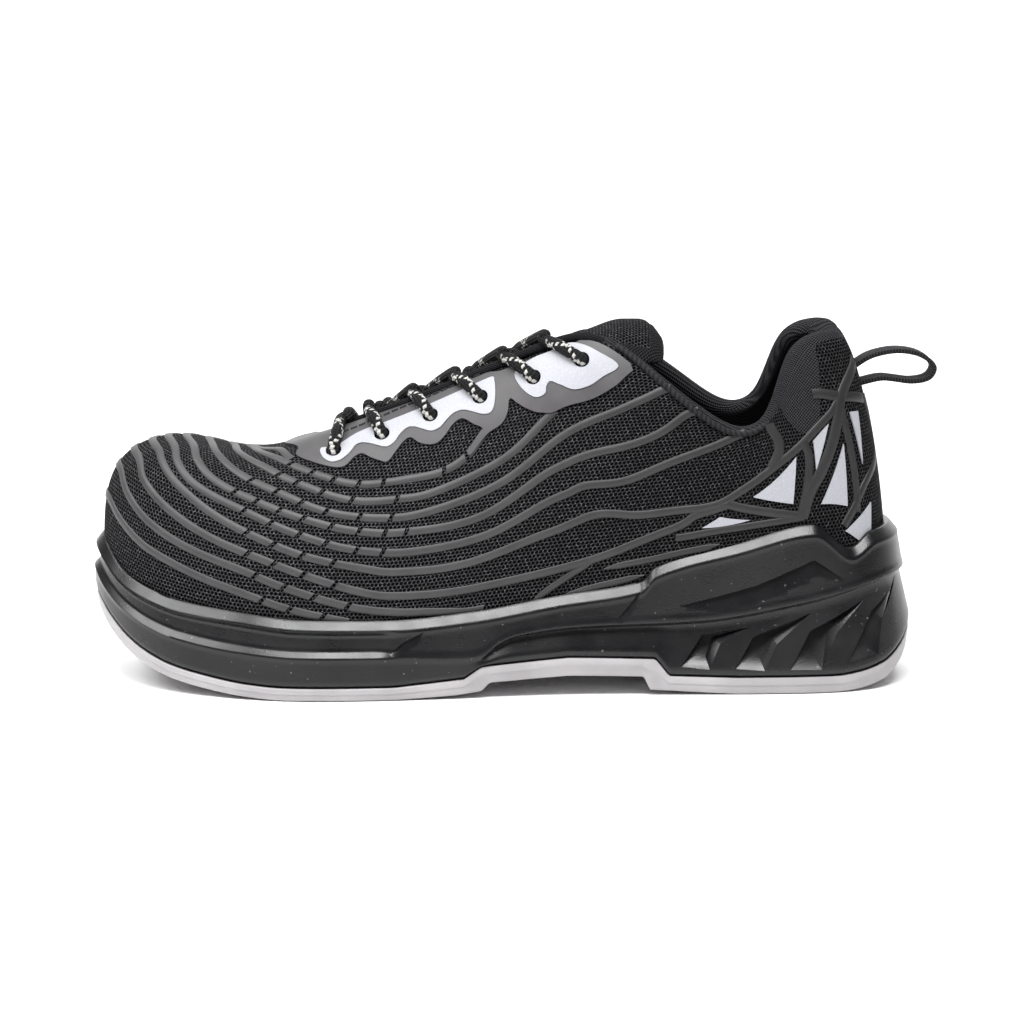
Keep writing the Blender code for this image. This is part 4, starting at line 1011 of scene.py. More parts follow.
def bends(ends):
    """Smooth curve through all but the first and last of the given points."""
    pieces = []
    for a, b, c, d in zip(ends, ends[1:], ends[2:], ends[3:]):
        f = np.linspace(0, 1, BEND_STEPS, endpoint=False)[:, None]
        pieces.append(b + 0.5 * f * (c - a + f * (2 * a - 5 * b + 4 * c - d + f * (3 * (b - c) + d - a))))
    return np.concatenate(pieces + [ends[-2:-1]])


def with_ends(points):
    """Points with one more at each end, straight on."""
    points = np.asarray(points, float)
    return np.concatenate([2 * points[:1] - points[1:2], points, 2 * points[-1:] - points[-2:-1]])


def evenly(curve, skin, step):
    """Points of a curve at an even true spacing, measured on the skin."""
    reach = np.concatenate([[0.0], np.cumsum(np.linalg.norm(np.diff(skin, axis=0), axis=1))])
    where = np.linspace(0.0, reach[-1], max(int(reach[-1] / step) + 1, 3))
    return np.column_stack([np.interp(where, reach, column) for column in curve.T])


def even_curve(points, step):
    """Even points on a smooth curve through points of the tables."""
    curve = bends(with_ends(points))
    return evenly(curve, curve, step)


class Tubes:
    """Round cords gathered into one mesh, with places along and round each cord."""

    def __init__(self):
        self.points = []
        self.faces = []
        self.places = []

    def add(self, path, radius, sides):
        """One tube along a path, with round places in turns and run in millimetres."""
        run = np.gradient(path, axis=0)
        run = run / np.linalg.norm(run, axis=1, keepdims=True)
        side = np.cross(run[0], (0.0, 0.0, 1.0))
        if np.linalg.norm(side) < 0.2:
            side = np.cross(run[0], (0.0, 1.0, 0.0))
        start = sum(len(group) for group in self.points)
        reach = 0.0
        for i, spot in enumerate(path):
            side = side - run[i] * np.dot(side, run[i])
            side = side / np.linalg.norm(side)
            up = np.cross(side, run[i])
            reach += np.linalg.norm(path[i] - path[i - 1]) if i else 0.0
            angles = 2 * math.pi * np.arange(sides + 1) / sides
            ring = spot + radius * (np.outer(np.cos(angles), side) + np.outer(np.sin(angles), up))
            self.points.append(ring)
            self.places.append(np.column_stack([np.full(sides + 1, reach), np.arange(sides + 1) / sides]))
        count = sides + 1
        for i in range(len(path) - 1):
            for k in range(sides):
                a = start + i * count + k
                self.faces.append((a, a + 1, a + count + 1, a + count))
        last = start + (len(path) - 1) * count
        self.faces.append(tuple(start + k for k in range(sides)))
        self.faces.append(tuple(last + k for k in range(sides)))

    def piece(self, name, material):
        """All tubes as one object."""
        places = np.concatenate(self.places)
        made = add_piece(name, np.concatenate(self.points), self.faces, material, run=places)
        weld(made.data, made.data)
        return made


def edge_cord(turns, inset, out, radius, sides, steady):
    """A cord along the upper's edge on both sides, at a distance in from the edge and out from the mesh."""
    cord = Tubes()
    for side_turns in (turns, 1.0 - turns):
        rises = 1.0 - inset / meridian_length(side_turns)
        cord.add(even_curve(on_upper(side_turns, rises, out, steady), CORD_STEP), radius, sides)
    return cord


piping_out = straight(PIPING_OUT, PIPING_TURNS)
piping = edge_cord(PIPING_TURNS, PIPING_INSET, piping_out, PIPING_RADIUS, PIPING_SIDES, PIPING_STEADY)
piping_cloth, tree, shader = plain_material("piping_cloth", (0.02, 0.02, 0.022), 0.7)
shader.inputs["Specular IOR Level"].default_value = 0.2
along_cord, round_cord = cloth_axes(tree)
twisted = math_node(tree, "ADD", math_node(tree, "DIVIDE", along_cord, PIPING_TWIST), round_cord)
strand = wave(tree, twisted, 1.0)
cord_shade = stretch(tree, strand, -0.8, 0.6)
colored(tree, shader, cord_shade, (0.008, 0.008, 0.009), (0.02, 0.02, 0.022))
bump(tree, shader, strand, 0.0001, 0.8)
piping_piece = piping.piece("collar_piping", piping_cloth)
on_shoe(piping_piece, "knit_black")

# Film overlays: mid-grey film pressed hot on to the mesh. Ribs run round the toe as nested loops,
# break into short dashes at the flex line and flow back to the collar and the heel lattice.
FILM_OUT = 0.45
FILM_BEVEL = 0.3
FILM_SUNK = 0.4
FILM_SPREAD = 0.1
FILM_STEADY = 0.97
FILM_SHARP = math.radians(50.0)
RIB_WIDTH = 2.9
RIB_STEP = 1.6
FINE_STEPS = 4
DASH_GAP = 2.0
DASH_SKEW = 0.45
Rib = namedtuple("Rib", "line gaps")
RIBS = [
    Rib([(110, 499), (121, 520), (141, 543), (172, 563), (233, 590), (287, 609), (347, 622)],
        (262, 289, 323)),
    Rib([(121, 470), (127, 492), (143, 516), (172, 539), (233, 567), (282, 587), (345, 606), (389, 612),
         (431, 612), (466, 618), (486, 629)], (255, 284, 314, 347)),
    Rib([(139, 458), (143, 478), (157, 498), (182, 520), (245, 553), (300, 574), (360, 592), (398, 596),
         (475, 588), (551, 571), (614, 552), (677, 527), (697, 515), (727, 505)], (247, 274, 303, 334)),
    Rib([(158, 449), (161, 458), (172, 478), (192, 498), (245, 532), (300, 555), (360, 568), (398, 572),
         (475, 561), (551, 532), (599, 514), (640, 515), (682, 510), (719, 504), (746, 488), (773, 468),
         (804, 442), (829, 415), (837, 402)], (247, 273, 302, 333)),
    Rib([(174, 445), (178, 463), (192, 482), (242, 510), (296, 534), (355, 550), (417, 551), (494, 532),
         (561, 496), (584, 486), (634, 478), (707, 449), (744, 429)], (244, 270, 299, 325, 357, 382)),
    Rib([(193, 444), (198, 461), (212, 478), (253, 500), (300, 518), (355, 531), (405, 532), (484, 515),
         (551, 471), (584, 456), (633, 444), (665, 430), (702, 405)],
        (235, 256, 279, 303, 331, 359, 385, 406)),
    Rib([(212, 443), (217, 453), (233, 469), (275, 491), (324, 511), (380, 518), (427, 512), (504, 481),
         (561, 437), (609, 414), (646, 398), (674, 383)], (252, 277, 301, 326, 360, 391)),
    Rib([(236, 447), (257, 463), (295, 482), (350, 500), (399, 499), (437, 491), (505, 458), (544, 421),
         (556, 409)], (279, 297, 322, 352, 397)),
    Rib([(256, 449), (274, 457), (310, 472), (357, 484), (408, 479), (441, 472), (466, 457), (483, 434),
         (492, 421)], (291, 312, 334, 359, 383, 444, 467)),
    Rib([(275, 449), (292, 459)], ()),
]


def picture(points):
    """Picture places, x and y, where the camera sees points of the tables."""
    x = points[..., 0] - MIDDLE_ALONG
    y = points[..., 1] - MIDDLE_ACROSS
    z = points[..., 2] - VIEW_HEIGHT
    away = VIEW_DISTANCE - y * math.cos(VIEW_RISE) - z * math.sin(VIEW_RISE)
    focal = PICTURE_SCALE * VIEW_DISTANCE / away
    up = z * math.cos(VIEW_RISE) - y * math.sin(VIEW_RISE)
    return np.stack([PICTURE_SIDE / 2 - focal * x, PICTURE_SIDE / 2 - focal * up], axis=-1)


SEEN_TURNS = np.linspace(-0.03, 0.53, 561)
SEEN_RISES = np.linspace(0.08, 1.0, 185)
SEEN_TOP = 0.995
SEEN_TURN_STEP = 0.001
SEEN_RISE_STEP = 0.004
MOST_TURN_MOVE = 0.004
MOST_RISE_MOVE = 0.02
OUT_OF_SIGHT = 1e6
seen_skin = skin_grid(SEEN_TURNS, SEEN_RISES)
seen_place = picture(seen_skin)
seen_side = np.cross(np.gradient(seen_skin, axis=1), np.gradient(seen_skin, axis=0))
eye = np.array(camera.location) / MM + np.array([MIDDLE_ALONG, MIDDLE_ACROSS, 0.0])
seen_place[np.sum(seen_side * (eye - seen_skin), axis=2) <= 0] = OUT_OF_SIGHT


def seen(places):
    """Turns and rises of the upper's outer side at picture places."""
    spots = []
    for place in places:
        away = np.sum((seen_place - np.array(place)) ** 2, axis=2)
        i, j = np.unravel_index(np.argmin(away), away.shape)
        spot = np.array([SEEN_TURNS[i], SEEN_RISES[j]])
        for _ in range(2):
            here = picture(upper_skin(*spot))[0]
            by_turn = (picture(upper_skin(spot[0] + SEEN_TURN_STEP, spot[1]))[0] - here) / SEEN_TURN_STEP
            by_rise = (here - picture(upper_skin(spot[0], spot[1] - SEEN_RISE_STEP))[0]) / SEEN_RISE_STEP
            slopes = np.stack([by_turn, by_rise], axis=1)
            move = np.linalg.lstsq(slopes, np.array(place) - here, rcond=None)[0]
            if abs(move[0]) < MOST_TURN_MOVE and abs(move[1]) < MOST_RISE_MOVE:
                spot = spot + move
        spots.append((spot[0], min(spot[1], SEEN_TOP)))
    return np.array(spots)


def flowing(points, step):
    """Even places on a smooth curve through points of (turn, rise), at a true spacing."""
    curve = bends(with_ends(points))
    return evenly(curve, upper_skin(curve[:, 0], curve[:, 1]), step)


def mirrored(spots):
    """The same places on the medial side."""
    return np.column_stack([1.0 - spots[:, 0], spots[:, 1]])


class Strips:
    """Raised strips of film gathered into one mesh."""

    def __init__(self):
        self.points = []
        self.faces = []

    def add(self, spots, width, out=FILM_OUT, skew=0.0):
        """One strip along a line of places, with ends cut at a slant."""
        skin = upper_skin(spots[:, 0], spots[:, 1])
        normal = upper_normal(spots[:, 0], np.minimum(spots[:, 1], FILM_STEADY))
        run = np.gradient(skin, axis=0)
        run = run / np.linalg.norm(run, axis=1, keepdims=True)
        side = np.cross(normal, run)
        half = np.broadcast_to(np.asarray(width) / 2, len(spots))[:, None]
        half_profile = [(-FILM_SPREAD, -FILM_SUNK), (0.0, out - FILM_BEVEL), (FILM_BEVEL, out)]
        profile = [(-1, *row) for row in half_profile] + [(1, *row) for row in half_profile[::-1]]
        slant = np.zeros((len(spots), 1))
        slant[[0, -1]] = skew
        start = sum(len(group) for group in self.points)
        rows = []
        for hand, inset, up in profile:
            across = hand * (half - np.minimum(inset, 0.8 * half))
            rows.append(skin + side * across + normal * up + run * slant * across)
        self.points.append(np.stack(rows, axis=1).reshape(-1, 3))
        self.faces += block_faces(start, len(spots), len(profile))

    def piece(self, name, material):
        """All strips as one object with crisp edges."""
        made = add_piece(name, np.concatenate(self.points), self.faces, material)
        made.data.set_sharp_from_angle(angle=FILM_SHARP)
        return made


def pressed_film(name, color, bright, roughness, rear):
    """Hot-pressed film with a fine grain; its colour is scaled by a share towards the rear, painted shade
    below one and painted light above one.
    """
    material, tree, shader = plain_material(name, color, roughness)
    shade = stretch(tree, noise(tree, 90.0, 5.0), 0.3, 0.7)
    grey = tint(tree, shade, color, bright)
    # Painted shade and light: colour scaled from the rear share behind the collar to full at the ball of
    # the foot.
    tree.links.new(shaded(tree, grey, forward(tree, rear, 1.0)), shader.inputs["Base Color"])
    bump(tree, shader, noise(tree, 2600.0, 2.0), 0.00008, 0.6)
    return material


# The ribs and heel lattice are painted darker towards the rear: painted shade.
film = pressed_film("grey_film", (0.04, 0.038, 0.04), (0.056, 0.054, 0.056), 0.48, 0.35)
ribs = Strips()
for rib in RIBS:
    spots = seen(rib.line)
    head = np.array([[0.5, spots[0, 1]]])
    path = flowing(np.concatenate([head, spots]), RIB_STEP / FINE_STEPS)
    place = picture(upper_skin(path[:, 0], path[:, 1]))[:, 0]
    cuts = [int(np.argmin(np.abs(place - gap))) for gap in rib.gaps]
    half_gap = int(round(DASH_GAP / 2 / (RIB_STEP / FINE_STEPS)))
    starts = [0] + [number + half_gap for number in cuts]
    stops = [number - half_gap for number in cuts] + [len(path) - 1]
    for number, (start, stop) in enumerate(zip(starts, stops)):
        if stop - start < FINE_STEPS:
            continue
        keep = np.unique(np.append(np.arange(start, stop, FINE_STEPS), stop))
        dash = path[keep]
        if number == 0:
            ribs.add(np.concatenate([mirrored(dash)[:0:-1], dash]), RIB_WIDTH, skew=DASH_SKEW)
        else:
            ribs.add(dash, RIB_WIDTH, skew=DASH_SKEW)
            ribs.add(mirrored(dash)[::-1], RIB_WIDTH, skew=-DASH_SKEW)
SHORT_TIP = 0.15
SHORT_TAPER = 0.2
SHORT_FULL = 0.8
SHORT_LINES = [
    [(598, 558), (570, 575), (548, 590), (530, 604)],
    [(556, 600), (590, 588), (620, 581), (644, 575)],
    [(604, 569), (648, 560), (684, 552), (720, 544)],
]
for short_line in SHORT_LINES:
    spots = flowing(seen(short_line), RIB_STEP)
    from_end = np.minimum(np.arange(len(spots)), np.arange(len(spots))[::-1])
    widths = RIB_WIDTH * np.minimum(SHORT_TIP + SHORT_TAPER * from_end, SHORT_FULL)
    ribs.add(spots, widths)
    ribs.add(mirrored(spots)[::-1], widths[::-1])
rib_piece = ribs.piece("film_ribs", film)
on_shoe(rib_piece, "film_grey")

# Heel lattice: struts of the same film, pressed on as one open cage round the heel.
# They cross and branch between the collar and the heel clip, alike on both sides.
LATTICE_OUT = FILM_OUT + 0.1
Strut = namedtuple("Strut", "width line")
STRUTS = [
    Strut(4.2, [(853, 360), (843, 390), (838, 418), (831, 447), (821, 472), (810, 492), (802, 518)]),
    Strut(3.6, [(812, 394), (838, 396), (862, 398)]),
    Strut(3.0, [(841, 410), (850, 446), (856, 486), (857, 512)]),
    Strut(3.0, [(875, 450), (866, 481), (853, 510), (844, 526)]),
    Strut(3.0, [(863, 395), (871, 425), (878, 458), (884, 520)]),
    Strut(3.0, [(804, 443), (809, 458), (807, 487), (801, 514)]),
    Strut(3.6, [(769, 424), (777, 438), (779, 451), (772, 468)]),
    Strut(3.2, [(727, 504), (760, 511), (804, 517)]),
    Strut(2.6, [(676, 538), (716, 531), (756, 525), (804, 517)]),
]
lattice = Strips()
for strut in STRUTS:
    spots = flowing(seen(strut.line), RIB_STEP)
    lattice.add(spots, strut.width, LATTICE_OUT)
    lattice.add(mirrored(spots)[::-1], strut.width, LATTICE_OUT)
lattice_piece = lattice.piece("heel_lattice", film)
on_shoe(lattice_piece, "film_grey", "heel_cage")

# Eyestay: one wide piece of the same film, pressed on round the throat. Its lower border is scalloped,
# and the lace holes are punched through it.
TURN_MM = 612.0
RISE_MM = 92.0
BORDER_STEP = 1.1
FILL_STEP = 2.0
EYESTAY_OUT = 0.85
THROAT_STEPS = 90
HOLE_MARGIN = 0.25
BORDER_CLEAR = 0.6
PATCH_SHARP = math.radians(40.0)
EYESTAY_TOP = [(110, 3.0), (119, 3.0), (124, 6.5), (147, 6.5), (152, 4.0), (190, 3.5), (216, 1.4)]
SCALLOPS = [
    (302, 436), (294, 446), (297, 456), (314, 463), (335, 468), (346, 466), (354, 458), (362, 454),
    (371, 458), (380, 461), (388, 462), (396, 452), (404, 442), (411, 438), (419, 443), (429, 445),
    (438, 443), (446, 435), (454, 424), (463, 419), (473, 424), (484, 430), (477, 440), (468, 452),
    (471, 455), (487, 435), (502, 424), (508, 412), (510, 399), (517, 403), (525, 408), (535, 412),
    (543, 413), (552, 413), (563, 408), (590, 400), (614, 387), (633, 371),
]


def inside(outline, spots):
    """Which flat places lie inside a closed outline."""
    hit = np.zeros(len(spots), bool)
    for (x0, y0), (x1, y1) in zip(np.roll(outline, 1, axis=0), outline):
        if y0 != y1:
            crosses = (y0 > spots[:, 1]) != (y1 > spots[:, 1])
            hit ^= crosses & (spots[:, 0] < (x1 - x0) * (spots[:, 1] - y0) / (y1 - y0) + x0)
    return hit


def film_patch(name, outlines, holes, out, material, grain):
    """Film cut to outlines of (turn, rise), less its holes, laid on the upper."""
    scale = np.array([TURN_MM, RISE_MM])
    flat = [np.asarray(outline) * scale for outline in outlines]
    gone = [np.asarray(outline) * scale for outline in holes]
    points = []
    edges = []
    for outline in flat + gone:
        start = len(points)
        points += [tuple(point) for point in outline]
        edges += [(start + i, start + (i + 1) % len(outline)) for i in range(len(outline))]
    border = np.array(points)
    low_corner, high_corner = border.min(axis=0), border.max(axis=0)
    for x in np.arange(low_corner[0], high_corner[0], grain):
        column = np.arange(low_corner[1], high_corner[1], grain)
        for y in column:
            if np.min(np.sum((border - (x, y)) ** 2, axis=1)) > (BORDER_CLEAR * grain) ** 2:
                points.append((x, y))
    spots, _, triangles, _, _, _ = delaunay_2d_cdt([Vector(point) for point in points], edges, [], 0, 1e-5)
    spots = np.array([tuple(spot) for spot in spots])
    triangles = np.array(triangles)
    middles = spots[triangles].mean(axis=1)
    kept = np.zeros(len(triangles), bool)
    for outline in flat:
        kept |= inside(outline, middles)
    for outline in gone:
        kept &= ~inside(outline, middles)
    triangles = triangles[kept]
    used, triangles = np.unique(triangles, return_inverse=True)
    triangles = triangles.reshape(-1, 3)
    turns, rises = (spots[used] / scale).T
    count = len(used)
    top_skin = on_upper(turns, rises, np.full(count, out))
    low_skin = on_upper(turns, rises, np.full(count, -FILM_SUNK))
    faces = []
    open_sides = {}
    for a, b, c in triangles.tolist():
        faces.append((a, b, c))
        faces.append((a + count, c + count, b + count))
        for pair in ((a, b), (b, c), (c, a)):
            if pair[::-1] in open_sides:
                del open_sides[pair[::-1]]
            else:
                open_sides[pair] = True
    faces += [(b, a, a + count, b + count) for a, b in open_sides]
    piece = add_piece(name, np.concatenate([top_skin, low_skin]), faces, material)
    piece.data.set_sharp_from_angle(angle=PATCH_SHARP)
    return piece


border = flowing(seen(SCALLOPS), BORDER_STEP)
border[0, 0] = 0.5
throat_turns = np.linspace(border[-1, 0], 0.5, THROAT_STEPS)
throat_inset = straight(EYESTAY_TOP, upper_skin(throat_turns, 1.0)[:, 0])
throat = np.column_stack([throat_turns, 1.0 - throat_inset / meridian_length(throat_turns)])
lower_edge = [border[::-1], mirrored(border)[1:]]
whole_outline = np.concatenate([*lower_edge, mirrored(throat)[1:-1], throat[::-1][:-1]])
lace_rings = [circle_on_upper(*spot, EYELET_RADIUS + HOLE_MARGIN, HOLE_SIDES) for spot in EYELETS]
# The eyestay's film is a lighter grey than the ribs', and its colour is scaled up towards the rear as
# painted light.
lit_eyestay_film = pressed_film("eyestay_grey", (0.05, 0.047, 0.05), (0.066, 0.063, 0.066), 0.48, 1.3)
eyestay = film_patch("eyestay_film", [whole_outline], lace_rings, EYESTAY_OUT, lit_eyestay_film, FILL_STEP)
on_shoe(eyestay, "film_grey", "eyestay")

# Stitches: black thread in one row through the eyestay, just below the throat's edge.
# Each stitch is a short length of thread that lies on the film between two needle holes.
STITCH_STEP = 0.4
STITCH_STEPS = 6
STITCH_PITCH = 8
STITCH_RADIUS = 0.4
STITCH_SIDES = 6
STITCH_OUT = 0.1
STITCH_LINE = [(343, 434), (399, 411), (456, 387), (482, 376)]
stitches = Tubes()
thread_line = flowing(seen(STITCH_LINE), STITCH_STEP)
for spots in (thread_line, mirrored(thread_line)):
    row = on_upper(spots[:, 0], spots[:, 1], np.full(len(spots), EYESTAY_OUT + STITCH_OUT))
    for first in range(0, len(row) - STITCH_STEPS, STITCH_PITCH):
        stitches.add(row[first:first + STITCH_STEPS + 1], STITCH_RADIUS, STITCH_SIDES)
thread, tree, shader = plain_material("black_thread", (0.006, 0.006, 0.007), 0.7)
twist = stretch(tree, wave(tree, cloth_axes(tree)[0], 0.6), -1.0, 1.0)
colored(tree, shader, twist, (0.004, 0.004, 0.004), (0.014, 0.014, 0.015))
stitch_piece = stitches.piece("throat_stitches", thread)
on_shoe(stitch_piece, "knit_black")

# Throat binding: a strip of black knit folded over foam cord and sewn along each edge of the throat.
# It stands a little above the film and carries the lace where that bends over the edge.
BINDING_RADIUS = 1.7
BINDING_INSET = 1.2
BINDING_TURNS = np.linspace(0.252, 0.446, 90)
BINDING_OUT = [(0.252, -2.0), (0.262, 0.9), (0.4, 0.9), (0.446, -2.4)]
BINDING_SIDES = 14
BINDING_STEADY = 0.9
binding_out = straight(BINDING_OUT, BINDING_TURNS)
binding = edge_cord(
    BINDING_TURNS, BINDING_INSET, binding_out, BINDING_RADIUS, BINDING_SIDES, BINDING_STEADY,
)
binding_cloth, tree, shader = plain_material("binding_cloth", (0.012, 0.012, 0.013), 0.85)
shader.inputs["Specular IOR Level"].default_value = 0.1
along_cord, round_cord = cloth_axes(tree)
stocking = math_node(tree, "MULTIPLY", wave(tree, along_cord, 1.1), wave(tree, round_cord, 0.1))
loops = stretch(tree, stocking, -0.6, 0.6)
colored(tree, shader, loops, (0.005, 0.005, 0.006), (0.022, 0.022, 0.024))
bump(tree, shader, stocking, 0.0003, 0.8)
binding_piece = binding.piece("throat_binding", binding_cloth)
on_shoe(binding_piece, "knit_black")

# Reflective film: pale beaded film, die cut and pressed on. Two patches on each side lie on the eyestay
# round the lace holes, and small triangles fill gaps of the heel lattice.
PATCH_OUT = 1.25
TRIANGLE_OUT = 0.5
TRIANGLE_STEPS = 8
FRONT_PATCH = [
    (322, 450), (336, 448), (360, 434), (389, 423), (440, 402), (489, 380), (495, 381), (496, 396),
    (493, 411), (484, 415), (465, 411), (455, 414), (448, 420), (441, 428), (432, 432), (423, 430),
    (415, 428), (408, 429), (401, 435), (394, 444), (386, 448), (376, 446), (365, 444), (357, 446),
    (350, 454), (341, 461), (331, 463), (323, 458),
]
REAR_PATCH = [
    (516, 374), (532, 361), (551, 353), (569, 345), (584, 346), (599, 353), (617, 364), (616, 370),
    (605, 376), (590, 386), (574, 390), (560, 385), (551, 382), (547, 387), (546, 394), (538, 398),
    (529, 395), (520, 386),
]
TRIANGLES = [
    [(753, 497), (796, 457), (793, 504)],
    [(813, 441), (828, 424), (816, 470)],
    [(821, 504), (843, 444), (847, 506)],
    [(849, 412), (857, 411), (862, 464)],
    [(845, 531), (870, 502), (870, 533), (858, 540)],
    [(702, 528), (720, 517), (750, 520)],
]


def closed_flow(points, step):
    """Smooth closed outline through points of (turn, rise)."""
    curve = bends(np.concatenate([points[-1:], points, points[:2]]))
    return evenly(curve, upper_skin(curve[:, 0], curve[:, 1]), step)[:-1]


reflective, tree, shader = plain_material("reflective_film", (0.62, 0.63, 0.68), 0.42)
bead = stretch(tree, noise(tree, 3200.0, 1.0), 0.45, 0.7)
colored(tree, shader, bead, (0.38, 0.385, 0.42), (0.47, 0.475, 0.515))
patches = []
for outline in (FRONT_PATCH, REAR_PATCH):
    spots = closed_flow(seen(outline), BORDER_STEP)
    patches += [spots, mirrored(spots)[::-1]]
patch_piece = film_patch("reflective_patches", patches, lace_rings, PATCH_OUT, reflective, FILL_STEP)
on_shoe(patch_piece, "film_grey")
triangles = []
for outline in TRIANGLES:
    corners = seen(outline + outline[:1])
    sides = [np.linspace(a, b, TRIANGLE_STEPS + 1)[:-1] for a, b in zip(corners, corners[1:])]
    spots = np.concatenate(sides)
    triangles += [spots, mirrored(spots)[::-1]]
triangle_pieces = film_patch("reflective_triangles", triangles, [], TRIANGLE_OUT, reflective, FILL_STEP)
on_shoe(triangle_pieces, "film_grey")

# Tongue: mesh over foam, with a closed knit border sewn round it. It is tucked under the throat, pressed
# down by the lace, and stands up full and round behind it.
TongueRow = namedtuple("TongueRow", "along height half thick droop")
TONGUE = [
    TongueRow(92.5, 128.2, 23.5, 13.0, 8.0),
    TongueRow(97.0, 130.4, 25.0, 14.0, 9.5),
    TongueRow(106.0, 130.4, 26.0, 13.0, 7.5),
    TongueRow(117.0, 127.4, 27.0, 12.0, 6.5),
    TongueRow(131.0, 121.8, 27.0, 11.0, 5.5),
    TongueRow(150.0, 113.2, 26.0, 10.0, 5.0),
    TongueRow(170.0, 104.0, 24.0, 9.0, 4.5),
    TongueRow(190.0, 94.7, 22.0, 8.0, 4.0),
    TongueRow(205.0, 88.7, 18.0, 6.0, 3.0),
]
TONGUE_STATIONS = np.concatenate([np.linspace(91.2, 100.0, 22), np.linspace(101.0, 205.0, 84)])
TONGUE_AROUND = 72
TONGUE_END = 9.0
TONGUE_BORDER = 5.0
TONGUE_GROOVE = 0.4
TONGUE_PUFF = 0.6
TONGUE_PRESS = [(91, 0.0), (122, 0.0), (136, 3.4), (190, 3.4), (205, 1.5)]
TONGUE_CLEAR = 0.5
TONGUE_TUCKED = 128.0
TONGUE_FADE = 15.0
PUFF_FADE = 4.0
GROOVE_HALF = 0.9
EDGE_THIN = 0.55
END_NARROW = 0.14
UNDER_FORWARD = 0.15
ROUND_ACROSS = 0.7
ROUND_LEVEL = 0.8
TONGUE_PITCH = 1.3
TONGUE_THREAD = (0.045, 0.045, 0.048)
PROBE_START = 12.0
LEAST_SLOPE = 0.2
upper_tree = tree_of(upper)


def under_upper(along, across, height):
    """Height kept clear below the upper's inside."""
    start = framed(along, across, float(smooth(DECK, along)) + PROBE_START)
    spot, normal, _, _ = upper_tree.ray_cast(start, Vector((0, 0, 1)))
    if spot is None:
        return height
    return min(height, spot.z / MM - TONGUE_CLEAR / max(abs(normal.z), LEAST_SLOPE))


def tongue_ring(along):
    """One section of the tongue: points, places on the cloth and distances from the border."""
    height, half, thick, droop = (
        float(smooth([(row.along, row[column]) for row in TONGUE], along)) for column in (1, 2, 3, 4)
    )
    height -= float(straight(TONGUE_PRESS, along))
    end = min((along - TONGUE_STATIONS[0] + 0.1) / TONGUE_END, 1.0)
    fullness = math.sqrt(1.0 - (1.0 - end) ** 2)
    points = []
    places = []
    for i in range(TONGUE_AROUND):
        angle = 2 * math.pi * i / TONGUE_AROUND
        across = math.copysign(abs(math.cos(angle)) ** ROUND_ACROSS, math.cos(angle))
        level = math.copysign(abs(math.sin(angle)) ** ROUND_LEVEL, math.sin(angle))
        crown = height - droop * across**2 - MEDIAL_THROAT_DROP * max(-across, 0.0)
        full = thick * (1.0 - EDGE_THIN * across**4)
        border = min((1.0 - abs(across)) * half, along - TONGUE_STATIONS[0])
        shown = max(level, 0.0) * min(max((TONGUE_TUCKED - along) / TONGUE_FADE, 0.0), 1.0)
        puff = TONGUE_PUFF * min(max((border - TONGUE_BORDER) / PUFF_FADE, 0.0), 1.0)
        puff -= TONGUE_GROOVE * math.exp(-(((border - TONGUE_BORDER) / GROOVE_HALF) ** 2))
        z = crown - full / 2 + level * full / 2 * fullness + puff * shown
        y = float(swing(along)) + half * across * (1.0 - END_NARROW * (1.0 - fullness))
        x = along + UNDER_FORWARD * thick * (1.0 - level)
        points.append((x, y, under_upper(x, y, z)))
        places.append((half * across, along, border if level > 0 else 0.0, TONGUE_BORDER))
    return points, places


tongue_mesh = open_mesh(
    "tongue_mesh", TONGUE_PITCH, TONGUE_THREAD, (0.006, 0.006, 0.007), (0.03, 0.03, 0.033),
)
tongue_points = []
tongue_places = []
for along in TONGUE_STATIONS:
    ring, ring_places = tongue_ring(float(along))
    tongue_points += ring
    tongue_places += ring_places
tongue_places = np.array(tongue_places)
tongue_faces = band_faces(len(TONGUE_STATIONS), TONGUE_AROUND)
tongue_faces += ladder(0, TONGUE_AROUND)
tongue_faces += ladder((len(TONGUE_STATIONS) - 1) * TONGUE_AROUND, TONGUE_AROUND)
tongue = add_piece(
    "padded_tongue", tongue_points, tongue_faces, tongue_mesh,
    run=tongue_places[:, :2], edge=tongue_places[:, 2:],
)
on_shoe(tongue, "knit_black", "tongue")

# Lace: one round braided cord, black with pale flecks in groups. A bar crosses at the front. Behind it
# each strand leaves a hole, bends over the throat's edge, crosses forward over the tongue and goes in
# under the other edge. Where two strands cross, the lateral one lies on top.
LACE_RADIUS = 2.2
LACE_REST = 0.15
LACE_SIDES = 16
LACE_STEP = 0.8
GAP_STEPS = 25
KNOBS = [(352, 406), (367, 409), (410, 392), (450, 374), (498, 355), (538, 339)]
BRAID_TURN = 12.0
BRAID_PICK = 2.0
BRAID_LAYS = 2.0
BRAID_YARNS = 6.0
FLECK_GROUP = 30.0
FLECK_START = 12.0
HOLE_DIP = 4.0
HOLE_RISE = 1.2
UNDER_EDGE = [(1.5, 0.0), (-4.0, 0.6)]
BALL_SHARES = (0.4, 0.75, 0.97)
BALL_SIDES = 10
BALL_SPOTS = [(0.0, 0.0)]
for share in BALL_SHARES:
    BALL_SPOTS += [(share, 2 * math.pi * i / BALL_SIDES) for i in range(BALL_SIDES)]
ABOVE_ALL = 200.0
CROSS_FORWARD = 13.0
Crossing = namedtuple("Crossing", "row lateral share forward")
CROSSINGS = [Crossing(1, False, 0.5, 6.0), Crossing(1, True, 1.0, 1.0)]
for row in range(2, len(EYELET_ROWS)):
    CROSSINGS += [Crossing(row, lateral, 1.0, CROSS_FORWARD) for lateral in (False, True)]

rest_on = [tree_of(upper), tree_of(eyestay), tree_of(binding_piece), tree_of(tongue)]


